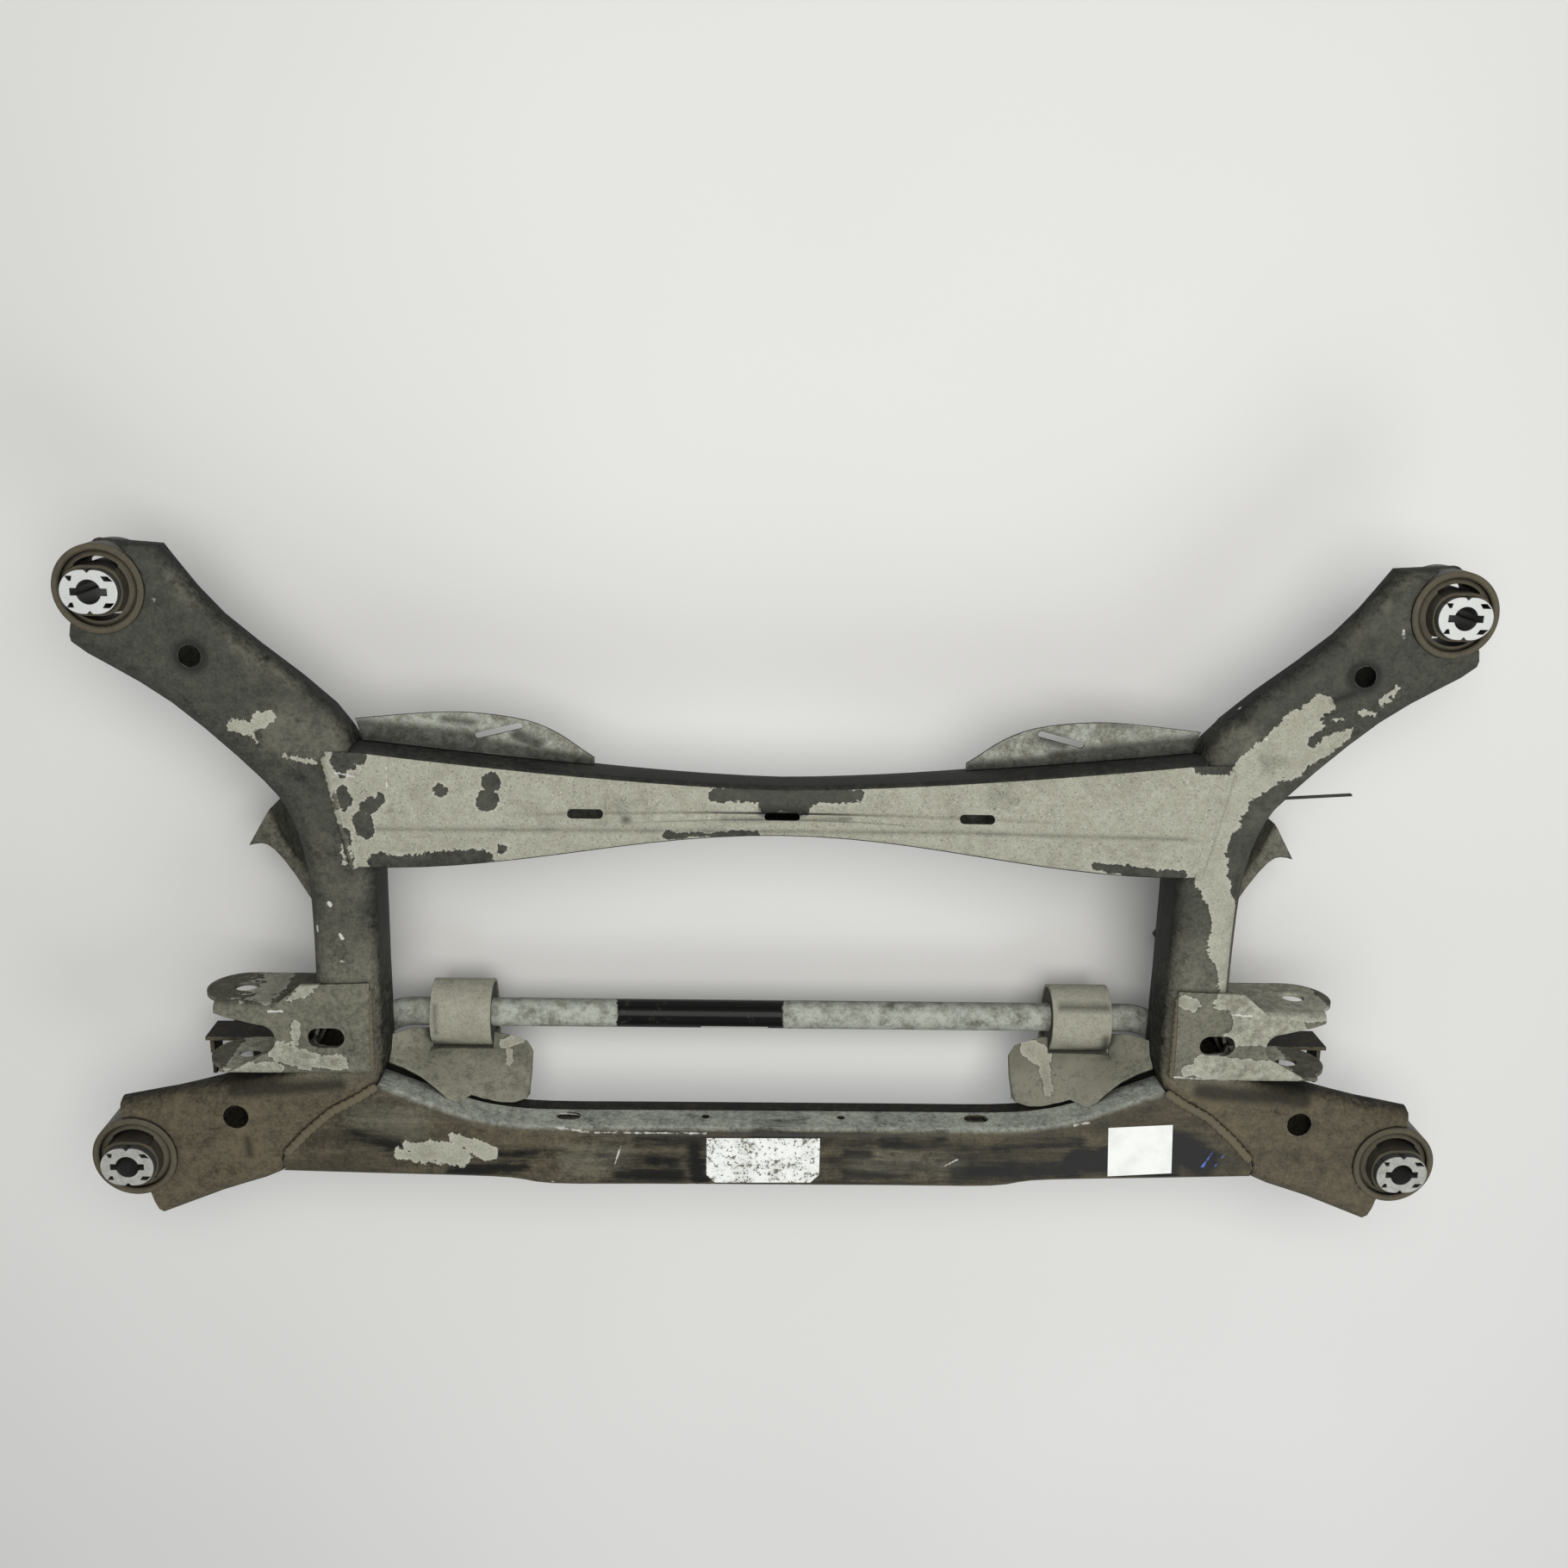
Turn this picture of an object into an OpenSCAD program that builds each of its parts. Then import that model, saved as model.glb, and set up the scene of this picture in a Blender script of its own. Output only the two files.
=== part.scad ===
// Rear axle subframe of pressed steel, with its stabiliser bar, lying as it rests on the ground.
// Lengths are millimetres. X runs across the car, Y fore and aft, Z up.
// Shapes are drawn with z = 0 at the side members' top face and y = 0 midway between the bush rows,
// and place() moves them to the ground.

/* [Overall] */
// Distance between the two front body-mount bush centres
front_span = 1000; // [960:5:1040]
// Distance between the two rear body-mount bush centres
rear_span = 1018; // [980:5:1060]
// Fore-and-aft distance between the bush rows
row_gap = 454; // [440:2:470]
// Height of the side members' top face above the ground
stand_height = 150; // [146:1:160]

/* [Side members] */
// Sheet thickness of the side members
side_wall = 2.6; // [2:0.1:3.2]
// Depth of a side member between the crossmembers
side_depth = 80; // [76:1:82]
// Depth of a side member at its bush eyes
eye_depth = 38; // [38:1:46]
// Distance of a side member's outer wall from the centre plane
leg_outer = 363; // [358:1:368]
// Distance of a side member's inner wall from the centre plane
leg_inner = 312; // [308:1:316]
// Depth of a side member at its rear tip, beside the rear bush
rear_tip_depth = 38; // [34:1:44]
// Outside bend radius along the side members' edges
side_radius = 16; // [10:0.5:18]
// Depth of the upper pressing's flanges
side_flange = 46; // [42:1:48]
// Depth of the upper pressing's flanges on the front arms
front_flange = 24; // [20:1:30]
// Depth of the upper pressing's flanges on the rear arms
rear_flange = 20; // [19:1:24]
// How far the lower pressing sits back under the inner edge of the front arms
front_set = 22; // [12:1:26]
// How far the lower pressing sits back under the outer edge of the rear arms
rear_set = 24; // [12:1:28]
// Overlap of the two pressings at the welded seam
seam_lap = 10; // [6:1:14]
// Tooling hole in each front arm
front_hole_d = 16.6; // [14:0.2:18]
// Tooling hole in each rear arm
rear_hole_d = 20; // [16:0.5:22]

/* [Crossmembers] */
// Sheet thickness of the crossmembers
beam_wall = 2.5; // [2:0.1:3]
// Width of the front crossmember at its waist
waist_w = 40; // [34:1:46]
// How far the front crossmember widens forwards at its ends
flare_front = 25; // [15:1:30]
// How far the front crossmember widens rearwards at its ends
flare_rear = 30; // [20:1:34]
// Depth of the front crossmember at its waist
waist_depth = 50; // [44:1:56]
// Position of the front crossmember's centre line along Y
front_beam_y = 65; // [60:1:70]
// Height of the front crossmember's lengthwise bead
bead_h = 2.2; // [1:0.1:3]
// Distance between the drain slots of the front crossmember
slot_pitch = 149.5; // [130:0.5:160]
// Width of the rear crossmember
rear_beam_w = 52; // [46:1:54]
// Depth of the rear crossmember
rear_beam_depth = 62; // [54:1:66]
// Position of the rear crossmember's centre line along Y
rear_beam_y = -227; // [-230:0.5:-225]

/* [Body-mount bushes] */
// Outside diameter of the welded bush eyes and of the bushes' rolled lips
eye_d = 66; // [62:0.5:70]
// Wall of the welded bush eyes
eye_wall = 3; // [2.5:0.1:3.5]
// Wall of a bush's pressed-in steel sleeve
sleeve_wall = 2; // [1.5:0.1:2.5]
// Width of a bush's aluminium core
core_w = 41; // [38:0.5:43]
// Height of a bush's aluminium core, across its flats
core_h = 31.5; // [29:0.5:33]
// How far a core stands above the side members' top face
core_rise = 20; // [16:0.5:24]
// Bolt hole through a core
core_bore_d = 18; // [16:0.2:19]

/* [Arm brackets] */
// Sheet thickness of the arm brackets
bracket_wall = 3; // [2.5:0.1:3.5]
// Clear gap between the ears of an upper-arm bracket
upper_gap = 54; // [50:1:58]
// Bolt hole of an upper-arm bracket
upper_bolt_d = 18; // [14:0.5:20]
// Clear gap between the ears of a lower-arm bracket
lower_gap = 56; // [50:1:58]
// Bolt hole of a lower-arm bracket
lower_bolt_d = 12.5; // [10.5:0.5:14.5]

/* [Stabiliser bar] */
// Diameter of the stabiliser bar
bar_d = 24; // [20:0.5:26]
// Distance from the centre plane to a stabiliser arm
arm_x = 343; // [338:1:346]
// Length of a stabiliser arm, from the bar's axis to the link hole
arm_len = 118; // [105:1:122]
// Downward slope of the stabiliser arms at rest
arm_slope = 9; // [6:0.5:9.5]
// Bend radius of the stabiliser bar
bend_r = 40; // [34:1:48]
// Link hole in each arm's flattened end
link_d = 10.5; // [8.5:0.5:12.5]
// Position of the clamps, from the centre plane
clamp_x = 261; // [255:1:266]
// Width of a clamp strap
strap_w = 50; // [44:1:54]
// Rubber between the bar and its clamp
clamp_rubber = 13.5; // [10:0.5:14]
// Sheet thickness of a clamp strap
strap_wall = 2.5; // [2:0.1:3]

/* [Hidden] */
// Gap between pieces that are welded or pressed together
seat = 0.15;
// Running clearance of the bar in its rubber bushes
run = 0.05;
// Position of the bar's axis
bar_y = -142;
bar_z = -97;
// Half lengths and direction of the rear bush eye stations, outboard and inboard of the bush centre
rear_eye_out = 45;
rear_eye_in = 59;
rear_eye_turn = 254;
// Reach of the front arms' skirt past the bush centre
front_skirt = eye_d / 2 + 1;
// Bend radius of the side members along the seam with the rear crossmember
seam_radius = 6;
// Dish round each front tooling hole
dish_d = 34;
dish = 1.4;
// Fore-and-aft centre lines of the arm brackets, and bolt places in them
upper_y = -125;
upper_bolt = [423, -33];
rear_arm_y = -185;
rear_bolt_x = 430;
ear_r = 30;

front_eye = [front_span / 2, row_gap / 2];
rear_eye = [rear_span / 2, -row_gap / 2];
eyes = [[-front_eye[0], front_eye[1]], front_eye, [-rear_eye[0], rear_eye[1]], rear_eye];
lower_bolt_z = -stand_height + ear_r + 1;
clamp_r = bar_d / 2 + clamp_rubber;
strap_r = clamp_r + seat + strap_wall;
strap_end = 152;
pad_z = bar_z - clamp_r;
pad_wall = 3;
pad_reach = 25;
wall_y = bar_y - clamp_r - seat;
clamp_bolt_y = wall_y - 14;
clamp_half = strap_w / 2 + 1;
$fn = 64;

function mix(a, b, t) = a + (b - a) * t;
function turn(a) = [cos(a), sin(a)];
function reverse(list) = [for (i = [len(list) - 1 : -1 : 0]) list[i]];
function pick(list, i) = list[max(0, min(len(list) - 1, i))];
function spline(p0, p1, p2, p3, t) = 0.5 * (2 * p1 + (p2 - p0) * t
    + (2 * p0 - 5 * p1 + 4 * p2 - p3) * t * t + (3 * p1 - p0 - 3 * p2 + p3) * t * t * t);
// Smooth curve through a list of vectors, with a number of steps in each interval
function smooth(list, steps) = concat(
    [for (i = [0 : len(list) - 2]) for (k = [0 : steps - 1])
        spline(pick(list, i - 1), list[i], list[i + 1], pick(list, i + 2), k / steps)],
    [list[len(list) - 1]]);
function arc(centre, r, from, to, steps) =
    [for (k = [0 : steps]) centre + r * turn(mix(from, to, k / steps))];

// One side of a channel's section: flange, bend, face with its beads, bend, flange
function channel_edge(w, flange, ra, rb, inset, steps, beads) = concat(
    [[inset, -flange]],
    arc([ra, -ra], ra - inset, 180, 90, steps),
    [for (b = beads) [mix(ra, w - rb, b[0]), b[1] - inset]],
    arc([w - rb, -rb], rb - inset, 90, 0, steps),
    [[w - inset, -flange]]);
function channel_ring(s, wall, r, steps, beads, up) = let (
    a = [s[0], s[1]],
    w = norm([s[2], s[3]] - a),
    u = ([s[2], s[3]] - a) / w,
    rb = len(s) > 6 ? s[6] : r,
    section = concat(channel_edge(w, s[5], r, rb, 0, steps, beads),
        reverse(channel_edge(w, s[5], r, rb, wall, steps, beads))))
    [for (p = section) concat(a + u * p[0], [s[4] + (up ? -p[1] : p[1])])];

// Pressed channel lofted through stations [ax, ay, bx, by, z of the face, flange depth, bend radius at b]
module channel_loft(stations, wall, r, steps = 3, beads = [], up = false) {
    rings = [for (s = stations) channel_ring(s, wall, r, steps, beads, up)];
    n = len(rings);
    m = len(rings[0]);
    sides = [for (i = [0 : n - 2]) for (j = [0 : m - 1]) let (
        a = i * m + j, b = i * m + (j + 1) % m, c = b + m, d = a + m) each [[a, c, b], [a, d, c]]];
    first = [for (k = [0 : m / 2 - 2]) each [[k, m - 2 - k, m - 1 - k], [k, k + 1, m - 2 - k]]];
    last = [for (f = first) reverse([for (i = f) i + (n - 1) * m])];
    faces = concat(sides, first, last);
    polyhedron([for (ring = rings) each ring], up ? [for (f = faces) reverse(f)] : faces, convexity = 8);
}

// Pressed sheet over a grid of columns of points, with its thickness measured down and back
module sheet_loft(columns, wall) {
    n = len(columns);
    m = len(columns[0]);
    top = [for (c = columns) each c];
    below = [for (p = top) p - [0, wall, wall]];
    total = n * m;
    cells = [for (i = [0 : n - 2]) for (j = [0 : m - 2]) let (
        a = i * m + j, b = a + 1, c = b + m, d = a + m) each [[a, c, b], [a, d, c]]];
    rim = concat([for (j = [0 : m - 1]) j], [for (i = [1 : n - 1]) i * m + m - 1],
        [for (j = [m - 2 : -1 : 0]) (n - 1) * m + j], [for (i = [n - 2 : -1 : 1]) i * m]);
    edge = [for (k = [0 : len(rim) - 1]) let (a = rim[k], b = rim[(k + 1) % len(rim)])
        each [[a, b + total, a + total], [a, b, b + total]]];
    under = [for (f = cells) reverse([for (i = f) i + total])];
    polyhedron(concat(top, below), concat(cells, under, edge), convexity = 8);
}

// Slot with round ends, lying along X
module slot2d(length, width) {
    square([length - width, width], center = true);
    for (side = [-1, 1]) translate([side * (length - width) / 2, 0]) circle(d = width);
}

// Plate outline with a flat foot and two round top corners, its top edge on the X axis
module arch2d(w, h, r) {
    translate([-w / 2, -h]) square([w, h - r]);
    translate([-w / 2 + r, -h]) square([w - 2 * r, h]);
    for (side = [-1, 1]) translate([side * (w / 2 - r), -r]) circle(r);
}

// Folded channel along X with its back up and two ears that hang from it
module folded_channel(x0, x1, y, top, gap, depth, wall, bend) {
    translate([x0, y, top]) rotate([90, 0, 90]) linear_extrude(x1 - x0) difference() {
        arch2d(gap + 2 * wall, depth, bend);
        translate([0, -wall]) arch2d(gap, depth, bend - wall);
    }
}

// Outline in the XZ plane, drawn through a band of Y
module side_cut(y, reach) {
    translate([0, y + reach, 0]) rotate([90, 0, 0]) linear_extrude(2 * reach) children();
}

module bolt_through(x, y, z, d, reach) {
    translate([x, y + reach, z]) rotate([90, 0, 0]) cylinder(d = d, h = 2 * reach);
}

module place() {
    front_edge = front_eye[1] + front_skirt;
    rear_edge = rear_eye[1] + rear_eye_in * sin(rear_eye_turn);
    translate([0, -(front_edge + rear_edge) / 2, stand_height]) children();
}

module on_side(side) {
    if (side > 0) children();
    else mirror([1, 0, 0]) children();
}

// Plan stations of the right side member: outer edge, inner edge, depth, flange of the upper pressing,
// how far the lower pressing sits back at the outer and the inner edge, and bend radius at the inner edge
lap_in = side_wall + seat;
front_a = front_eye + [27, -43];
front_b = front_eye + [-41, 31];
shoulder_a = [leg_outer + 31, 81];
shoulder_b = [leg_inner + 28, 138];
heel_a = [leg_outer + 70, -166.5];
heel_b = [leg_inner + 83, -243.5];
rear_a = rear_eye - rear_eye_out * turn(rear_eye_turn);
rear_b = rear_eye + rear_eye_in * turn(rear_eye_turn);
leg_form = [side_depth, side_flange, lap_in, lap_in, side_radius];
front_form = [front_flange, lap_in, front_set, side_radius];
rear_form = [rear_flange, rear_set, lap_in, side_radius];
side_plan = concat([concat(front_a, front_eye + [6, front_skirt], [eye_depth], front_form)], smooth([
    concat(mix(front_a, shoulder_a, 0.08), front_b, [eye_depth], front_form),
    concat(mix(front_a, shoulder_a, 0.5) + [-3, 7], front_eye + [-82, -20], [eye_depth + 16], front_form),
    concat(shoulder_a, shoulder_b,
        [side_depth, mix(front_flange, side_flange, 0.4), lap_in, 0.6 * front_set, side_radius]),
    concat([leg_outer + 11, 50, leg_inner + 10, 92], leg_form),
    concat([leg_outer + 2, 12, leg_inner + 1, 40], leg_form),
    concat([leg_outer, -30, leg_inner, -20], leg_form),
    concat([leg_outer, -80, leg_inner, -80], leg_form),
    concat([leg_outer + 1, -118, leg_inner, -130], leg_form),
    concat([leg_outer + 11, -143, leg_inner + 4, -166],
        [side_depth, side_flange, lap_in, lap_in, mix(seam_radius, side_radius, 0.4)]),
    concat([leg_outer + 29, -157, leg_inner + 40, -187],
        [side_depth, side_flange, lap_in, lap_in, seam_radius]),
    concat([leg_outer + 55, -163.5, leg_inner + 79, -225],
        [side_depth, mix(side_flange, rear_flange, 0.25), 0.4 * rear_set, lap_in, seam_radius]),
    concat(heel_a, heel_b, [side_depth, mix(side_flange, rear_flange, 0.6), 0.7 * rear_set, lap_in,
        mix(seam_radius, side_radius, 0.4)]),
    concat(mix(heel_a, rear_a, 0.5) + [0, 0.5], mix(heel_b, rear_b, 0.5), [rear_tip_depth + 6], rear_form),
    concat(rear_a, rear_b, [rear_tip_depth], rear_form)], 3));
function side_bend_at(s) = max(seam_radius, min(s[8], side_radius));
function side_deep(s) = max(rear_tip_depth, min(s[4], side_depth));
function side_flange_at(s) = max(rear_flange, min(s[5], side_flange));
function side_leg_at(s) = side_deep(s) - side_flange_at(s)
    + min(seam_lap, side_flange_at(s) - side_radius - 1);

// The same stations drawn in by a distance at both edges
function set_back(s, da, db) = let (a = [s[0], s[1]], b = [s[2], s[3]], u = (b - a) / norm(b - a))
    concat(a + da * u, b - db * u);
function drawn_in(s, d) = set_back(s, d, d);

module side_plan2d(grow) {
    edges = [for (s = side_plan) drawn_in(s, -grow)];
    polygon(concat([for (e = edges) [e[0], e[1]]], reverse([for (e = edges) [e[2], e[3]]])));
}

// Space that a side member takes up, used to trim what is welded to its walls
module side_space(top) {
    for (side = [-1, 1]) on_side(side)
        translate([0, 0, -side_depth - seat]) linear_extrude(side_depth + seat + top) side_plan2d(seat);
}

module eye_cuts() {
    for (c = [front_eye, rear_eye])
        translate([c[0], c[1], -side_depth]) cylinder(d = eye_d + 2 * seat, h = 2 * side_depth);
}

module side_upper(side) {
    front_hole = mix(front_eye, shoulder_a, 0.5) + [-8, 24];
    rear_hole = rear_eye + [-81, 34];
    color("dimgray") on_side(side) difference() {
        union() {
            channel_loft([for (s = side_plan)
                concat([for (i = [0 : 3]) s[i]], [0, side_flange_at(s), side_bend_at(s)])],
                side_wall, side_radius);
            translate(concat(front_hole, [-side_wall - dish])) cylinder(d = dish_d + 4, h = side_wall);
        }
        eye_cuts();
        translate(concat(front_hole, [-side_radius])) cylinder(d = front_hole_d, h = 2 * side_radius);
        translate(concat(front_hole, [0])) rotate_extrude() polygon([[0, -dish], [dish_d / 2 - 3, -dish],
            [dish_d / 2, 0], [dish_d / 2, 1], [0, 1]]);
        translate(concat(rear_hole, [-side_radius])) cylinder(d = rear_hole_d, h = 2 * side_radius);
        translate([upper_bolt[0] - 70, upper_y + 2, -side_radius]) linear_extrude(2 * side_radius)
            slot2d(28.6, 16.5);
    }
}

module side_lower(side) {
    stations = [for (s = side_plan) concat(set_back(s, max(s[6], lap_in), max(s[7], lap_in)),
        [-side_deep(s), side_leg_at(s)])];
    color("dimgray") on_side(side) difference() {
        channel_loft(stations, side_wall, side_radius - 2, steps = 2, up = true);
        eye_cuts();
    }
}

// Front crossmember: stations along X from the waist to the ends
beam_end = leg_inner + 19;
beam_steps = 26;
function beam_edge(x) = let (t = min(1, abs(x) / (leg_inner + 3)))
    [front_beam_y + waist_w / 2 + flare_front * pow(t, 1.5),
     front_beam_y - waist_w / 2 - flare_rear * (1 - cos(180 * t)) / 2];
function beam_drop(x) = waist_depth + (side_depth - 8 - waist_depth) * pow(min(1, abs(x) / leg_inner), 2);
beam_xs = [for (k = [0 : beam_steps]) mix(-beam_end, beam_end, k / beam_steps)];
beam_flange = 32;

module front_beam_upper() {
    top = seat + beam_wall;
    color("darkkhaki") difference() {
        channel_loft([for (x = beam_xs) let (e = beam_edge(x))
            [1.04 * x, e[0], 0.98 * x, e[1], top, beam_flange]],
            beam_wall, 8, steps = 2, beads = [[0.46, 0], [0.5, bead_h], [0.66, bead_h], [0.72, 0]]);
        side_space(seat / 2);
        for (x = [-slot_pitch, 0, slot_pitch])
            translate([x, front_beam_y - 2, -4]) linear_extrude(12) slot2d(27, 6.8);
    }
}

module front_beam_lower() {
    inset = beam_wall + seat;
    color("dimgray") difference() {
        union() {
            channel_loft([for (x = beam_xs) let (e = beam_edge(x))
                [1.04 * x, e[0] - inset, 0.98 * x, e[1] + inset, -beam_drop(x),
                    beam_drop(x) - beam_flange + seam_lap]],
                beam_wall, 7, steps = 2, up = true);
            for (side = [-1, 1]) on_side(side) beam_wing();
        }
        side_space(seat / 2);
    }
}

// Shelf that the lower pressing carries in front of each end of the front crossmember
module beam_wing() {
    far = [[146, 95], [155, 101], [175, 114.5], [199, 124], [235, 129], [272, 129], [leg_inner + 30, 122]];
    back = [for (p = far) [p[0], beam_edge(p[0])[0] - 1.5 * beam_wall - seat]];
    translate([0, 0, -waist_depth + 4]) linear_extrude(beam_wall) difference() {
        polygon(concat(smooth(far, 3), reverse(back)));
        translate([220, 115.5]) rotate(-14.5) slot2d(38, 5);
    }
}

// Rear crossmember: stations from the left end to the right end
rear_beam_a = rear_beam_y + rear_beam_w / 2;
rear_beam_b = rear_beam_y - rear_beam_w / 2;
rear_half = [
    [0, rear_beam_a, 0, rear_beam_b],
    [100, rear_beam_a, 100, rear_beam_b],
    [185, rear_beam_a, 178, rear_beam_b],
    [leg_inner - 90, rear_beam_a + 3, leg_inner - 100, rear_beam_b + 5],
    [leg_inner - 64, rear_beam_a + 9, leg_inner - 50, rear_beam_b + 7],
    [leg_inner - 32, rear_beam_a + 21, leg_inner - 6, rear_beam_b + 8],
    [leg_inner + 24, -158, leg_inner + 100, -242]];
rear_plan = smooth(concat(
    [for (s = reverse(rear_half)) if (s[0] > 0) [-s[0], s[1], -s[2], s[3]]], rear_half), 3);

module rear_beam_space() {
    edges = [for (s = rear_plan) drawn_in(s, -seat)];
    translate([0, 0, -rear_beam_depth - seat]) linear_extrude(rear_beam_depth + 2 * seat)
        polygon(concat([for (e = edges) [e[0], e[1]]], reverse([for (e = edges) [e[2], e[3]]])));
}

module rear_beam_upper() {
    flange = 34;
    color("dimgray") difference() {
        channel_loft([for (s = rear_plan) concat(s, [0, flange])], beam_wall, 8);
        side_space(seat);
        for (x = [-167, 167]) translate([x, rear_beam_a + 10, -23]) rotate([90, 0, 0])
            linear_extrude(20) slot2d(20, 13);
        for (x = [-55.5, 55.5]) bolt_through(x, rear_beam_a, -23, 7, 10);
    }
}

module rear_beam_lower() {
    stations = [for (s = rear_plan) concat(drawn_in(s, beam_wall + seat),
        [-rear_beam_depth, rear_beam_depth - 24])];
    color("dimgray") difference() {
        channel_loft(stations, beam_wall, 8, steps = 2, up = true);
        side_space(seat);
    }
}

// Welded bush eye, with the bush's sleeve, rubber and core
eye_bore = eye_d - 2 * eye_wall;
sleeve_d = eye_bore - 2 * seat;
rubber_r = sleeve_d / 2 - sleeve_wall - seat;
bush_foot = -eye_depth;

module bush_eye(i) {
    color("dimgray") translate(concat(eyes[i], [bush_foot])) difference() {
        cylinder(d = eye_d, h = -bush_foot);
        translate([0, 0, -1]) cylinder(d = eye_bore, h = 2 - bush_foot);
    }
}

module bush_sleeve(i) {
    lip = 3.6;
    color("saddlebrown") translate(concat(eyes[i], [0])) rotate_extrude() polygon([
        [sleeve_d / 2 - sleeve_wall, bush_foot], [sleeve_d / 2, bush_foot], [sleeve_d / 2, seat],
        [eye_d / 2, seat], [eye_d / 2, lip - 1], [eye_d / 2 - 1.4, lip],
        [sleeve_d / 2 - sleeve_wall + 1.2, lip], [sleeve_d / 2 - sleeve_wall, lip - 1.2]]);
}

// Extruded core outline: flat sides, round ends
module core2d(grow) {
    slot2d(core_w + 2 * grow, core_h + 2 * grow);
}

module bush_rubber(i) {
    shoulder_z = core_rise - 7;
    color("black") translate(concat(eyes[i], [0])) difference() {
        rotate_extrude() polygon([[0, bush_foot + 4], [rubber_r - 3, bush_foot + 4],
            [rubber_r, bush_foot + 7], [rubber_r, -1], [rubber_r - 2, 1], [rubber_r - 5, 2.5],
            [core_w / 2 + 1.5, shoulder_z],
            [0, shoulder_z]]);
        translate([0, 0, bush_foot - 1]) linear_extrude(core_rise - bush_foot + 2) core2d(seat);
        translate([0, 0, bush_foot - 1]) linear_extrude(core_rise - bush_foot + 2) difference() {
            circle(rubber_r - 4);
            core2d(2.5);
            for (side = [-1, 1]) translate([side * (rubber_r + 16), 0]) square(2 * rubber_r, center = true);
        }
    }
}

module bush_core(i) {
    key_w = 26.5;
    key_h = 5.4;
    notch = 3.2;
    color("silver") translate(concat(eyes[i], [bush_foot - 4])) difference() {
        linear_extrude(core_rise - bush_foot + 4) difference() {
            core2d(0);
            for (side = [-1, 1]) translate([0, side * core_h / 2]) rotate(45) square(notch, center = true);
            square([key_w, key_h], center = true);
            for (sx = [-1, 1]) for (sy = [-1, 1]) translate([sx * 12.6, sy * 9.6])
                polygon([[-3.4, sy * 1.8], [1.8, sy * 1.8], [4.4 * max(sx, 0) + 1, -sy * 1.8],
                    [-1, -sy * 1.8]]);
        }
        translate([0, 0, -1]) cylinder(d = core_bore_d, h = core_rise - bush_foot + 6);
    }
}

// Upper-arm bracket: folded web and two ears, lapped over the side member's top face
module upper_arm_bracket(side) {
    top = seat + bracket_wall;
    depth = -upper_bolt[1] + ear_r + top;
    half = upper_gap / 2 + bracket_wall;
    inner = leg_inner + 8;
    color("darkgray") on_side(side) difference() {
        union() {
            intersection() {
                folded_channel(inner, upper_bolt[0] + ear_r + 1, upper_y, top, upper_gap, depth,
                    bracket_wall, 6);
                side_cut(upper_y, half + 1) union() {
                    translate(upper_bolt) circle(ear_r);
                    translate(upper_bolt) square([16, top - upper_bolt[1]]);
                    translate([inner - 1, top - depth]) square([upper_bolt[0] - inner + 1, depth]);
                }
            }
            translate([0, 0, seat]) linear_extrude(bracket_wall) polygon([[inner - 2, upper_y + half + 18],
                [leg_outer + 8, upper_y + half + 16], [leg_outer + 34, upper_y + half - 6],
                [leg_outer + 34, upper_y], [inner, upper_y]]);
        }
        side_space(seat / 2);
        bolt_through(upper_bolt[0], upper_y, upper_bolt[1], upper_bolt_d, half + 1);
        translate([upper_bolt[0] - 70, upper_y + 2, -1]) linear_extrude(bracket_wall + 2) slot2d(28.6, 16.5);
        translate([0, upper_y, -1]) linear_extrude(bracket_wall + 2) {
            translate([upper_bolt[0] - 18, 0]) circle(12.5);
            polygon([[upper_bolt[0] - 22, 11.5], [upper_bolt[0] + 8, 19], [upper_bolt[0] + ear_r, 28],
                [upper_bolt[0] + ear_r, -40], [upper_bolt[0] - 2, -23], [upper_bolt[0] - 22, -11.5]]);
        }
    }
}

// Lower-arm bracket below a side member: two ears that reach the ground, under a short web
module lower_arm_bracket(inner, bolt_x, y, web_end) {
    top = -side_depth - seat;
    depth = stand_height + top;
    half = lower_gap / 2 + bracket_wall;
    difference() {
        intersection() {
            folded_channel(inner, bolt_x + ear_r + 1, y, top, lower_gap, depth, bracket_wall, 6);
            side_cut(y, half + 1) union() {
                translate([bolt_x, lower_bolt_z]) circle(ear_r + 1);
                polygon([[inner, top], [inner, top - 16], [bolt_x - 28, -stand_height],
                    [bolt_x, -stand_height], [bolt_x + 12, lower_bolt_z], [bolt_x + 12, top]]);
            }
        }
        translate([web_end, y - lower_gap / 2, top - 7]) cube([bolt_x, lower_gap, 8]);
        bolt_through(bolt_x, y, lower_bolt_z, lower_bolt_d, half + 1);
    }
}

// Horn bracket: narrow channel from under the side member, widening to a claw in front of its outer wall.
// Each station is the outer edge and the inner edge of the channel's face.
horn_plan = smooth([
    [leg_outer + 66, 7, leg_outer + 48, 38],
    [leg_outer + 56, 9, leg_outer + 42, 24],
    [leg_outer + 46, 4, leg_outer + 36, 10],
    [leg_outer + 30, -18, leg_outer + 21, -12],
    [leg_outer + 5, -62, leg_outer - 5, -52],
    [leg_outer - 17, -94, leg_outer - 27, -84]], 2);

module front_horn(side) {
    top = -side_depth - seat;
    color("dimgray") on_side(side)
        channel_loft([for (s = horn_plan) concat(s, [top, stand_height + top])], bracket_wall - 0.5, 4);
}

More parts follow.
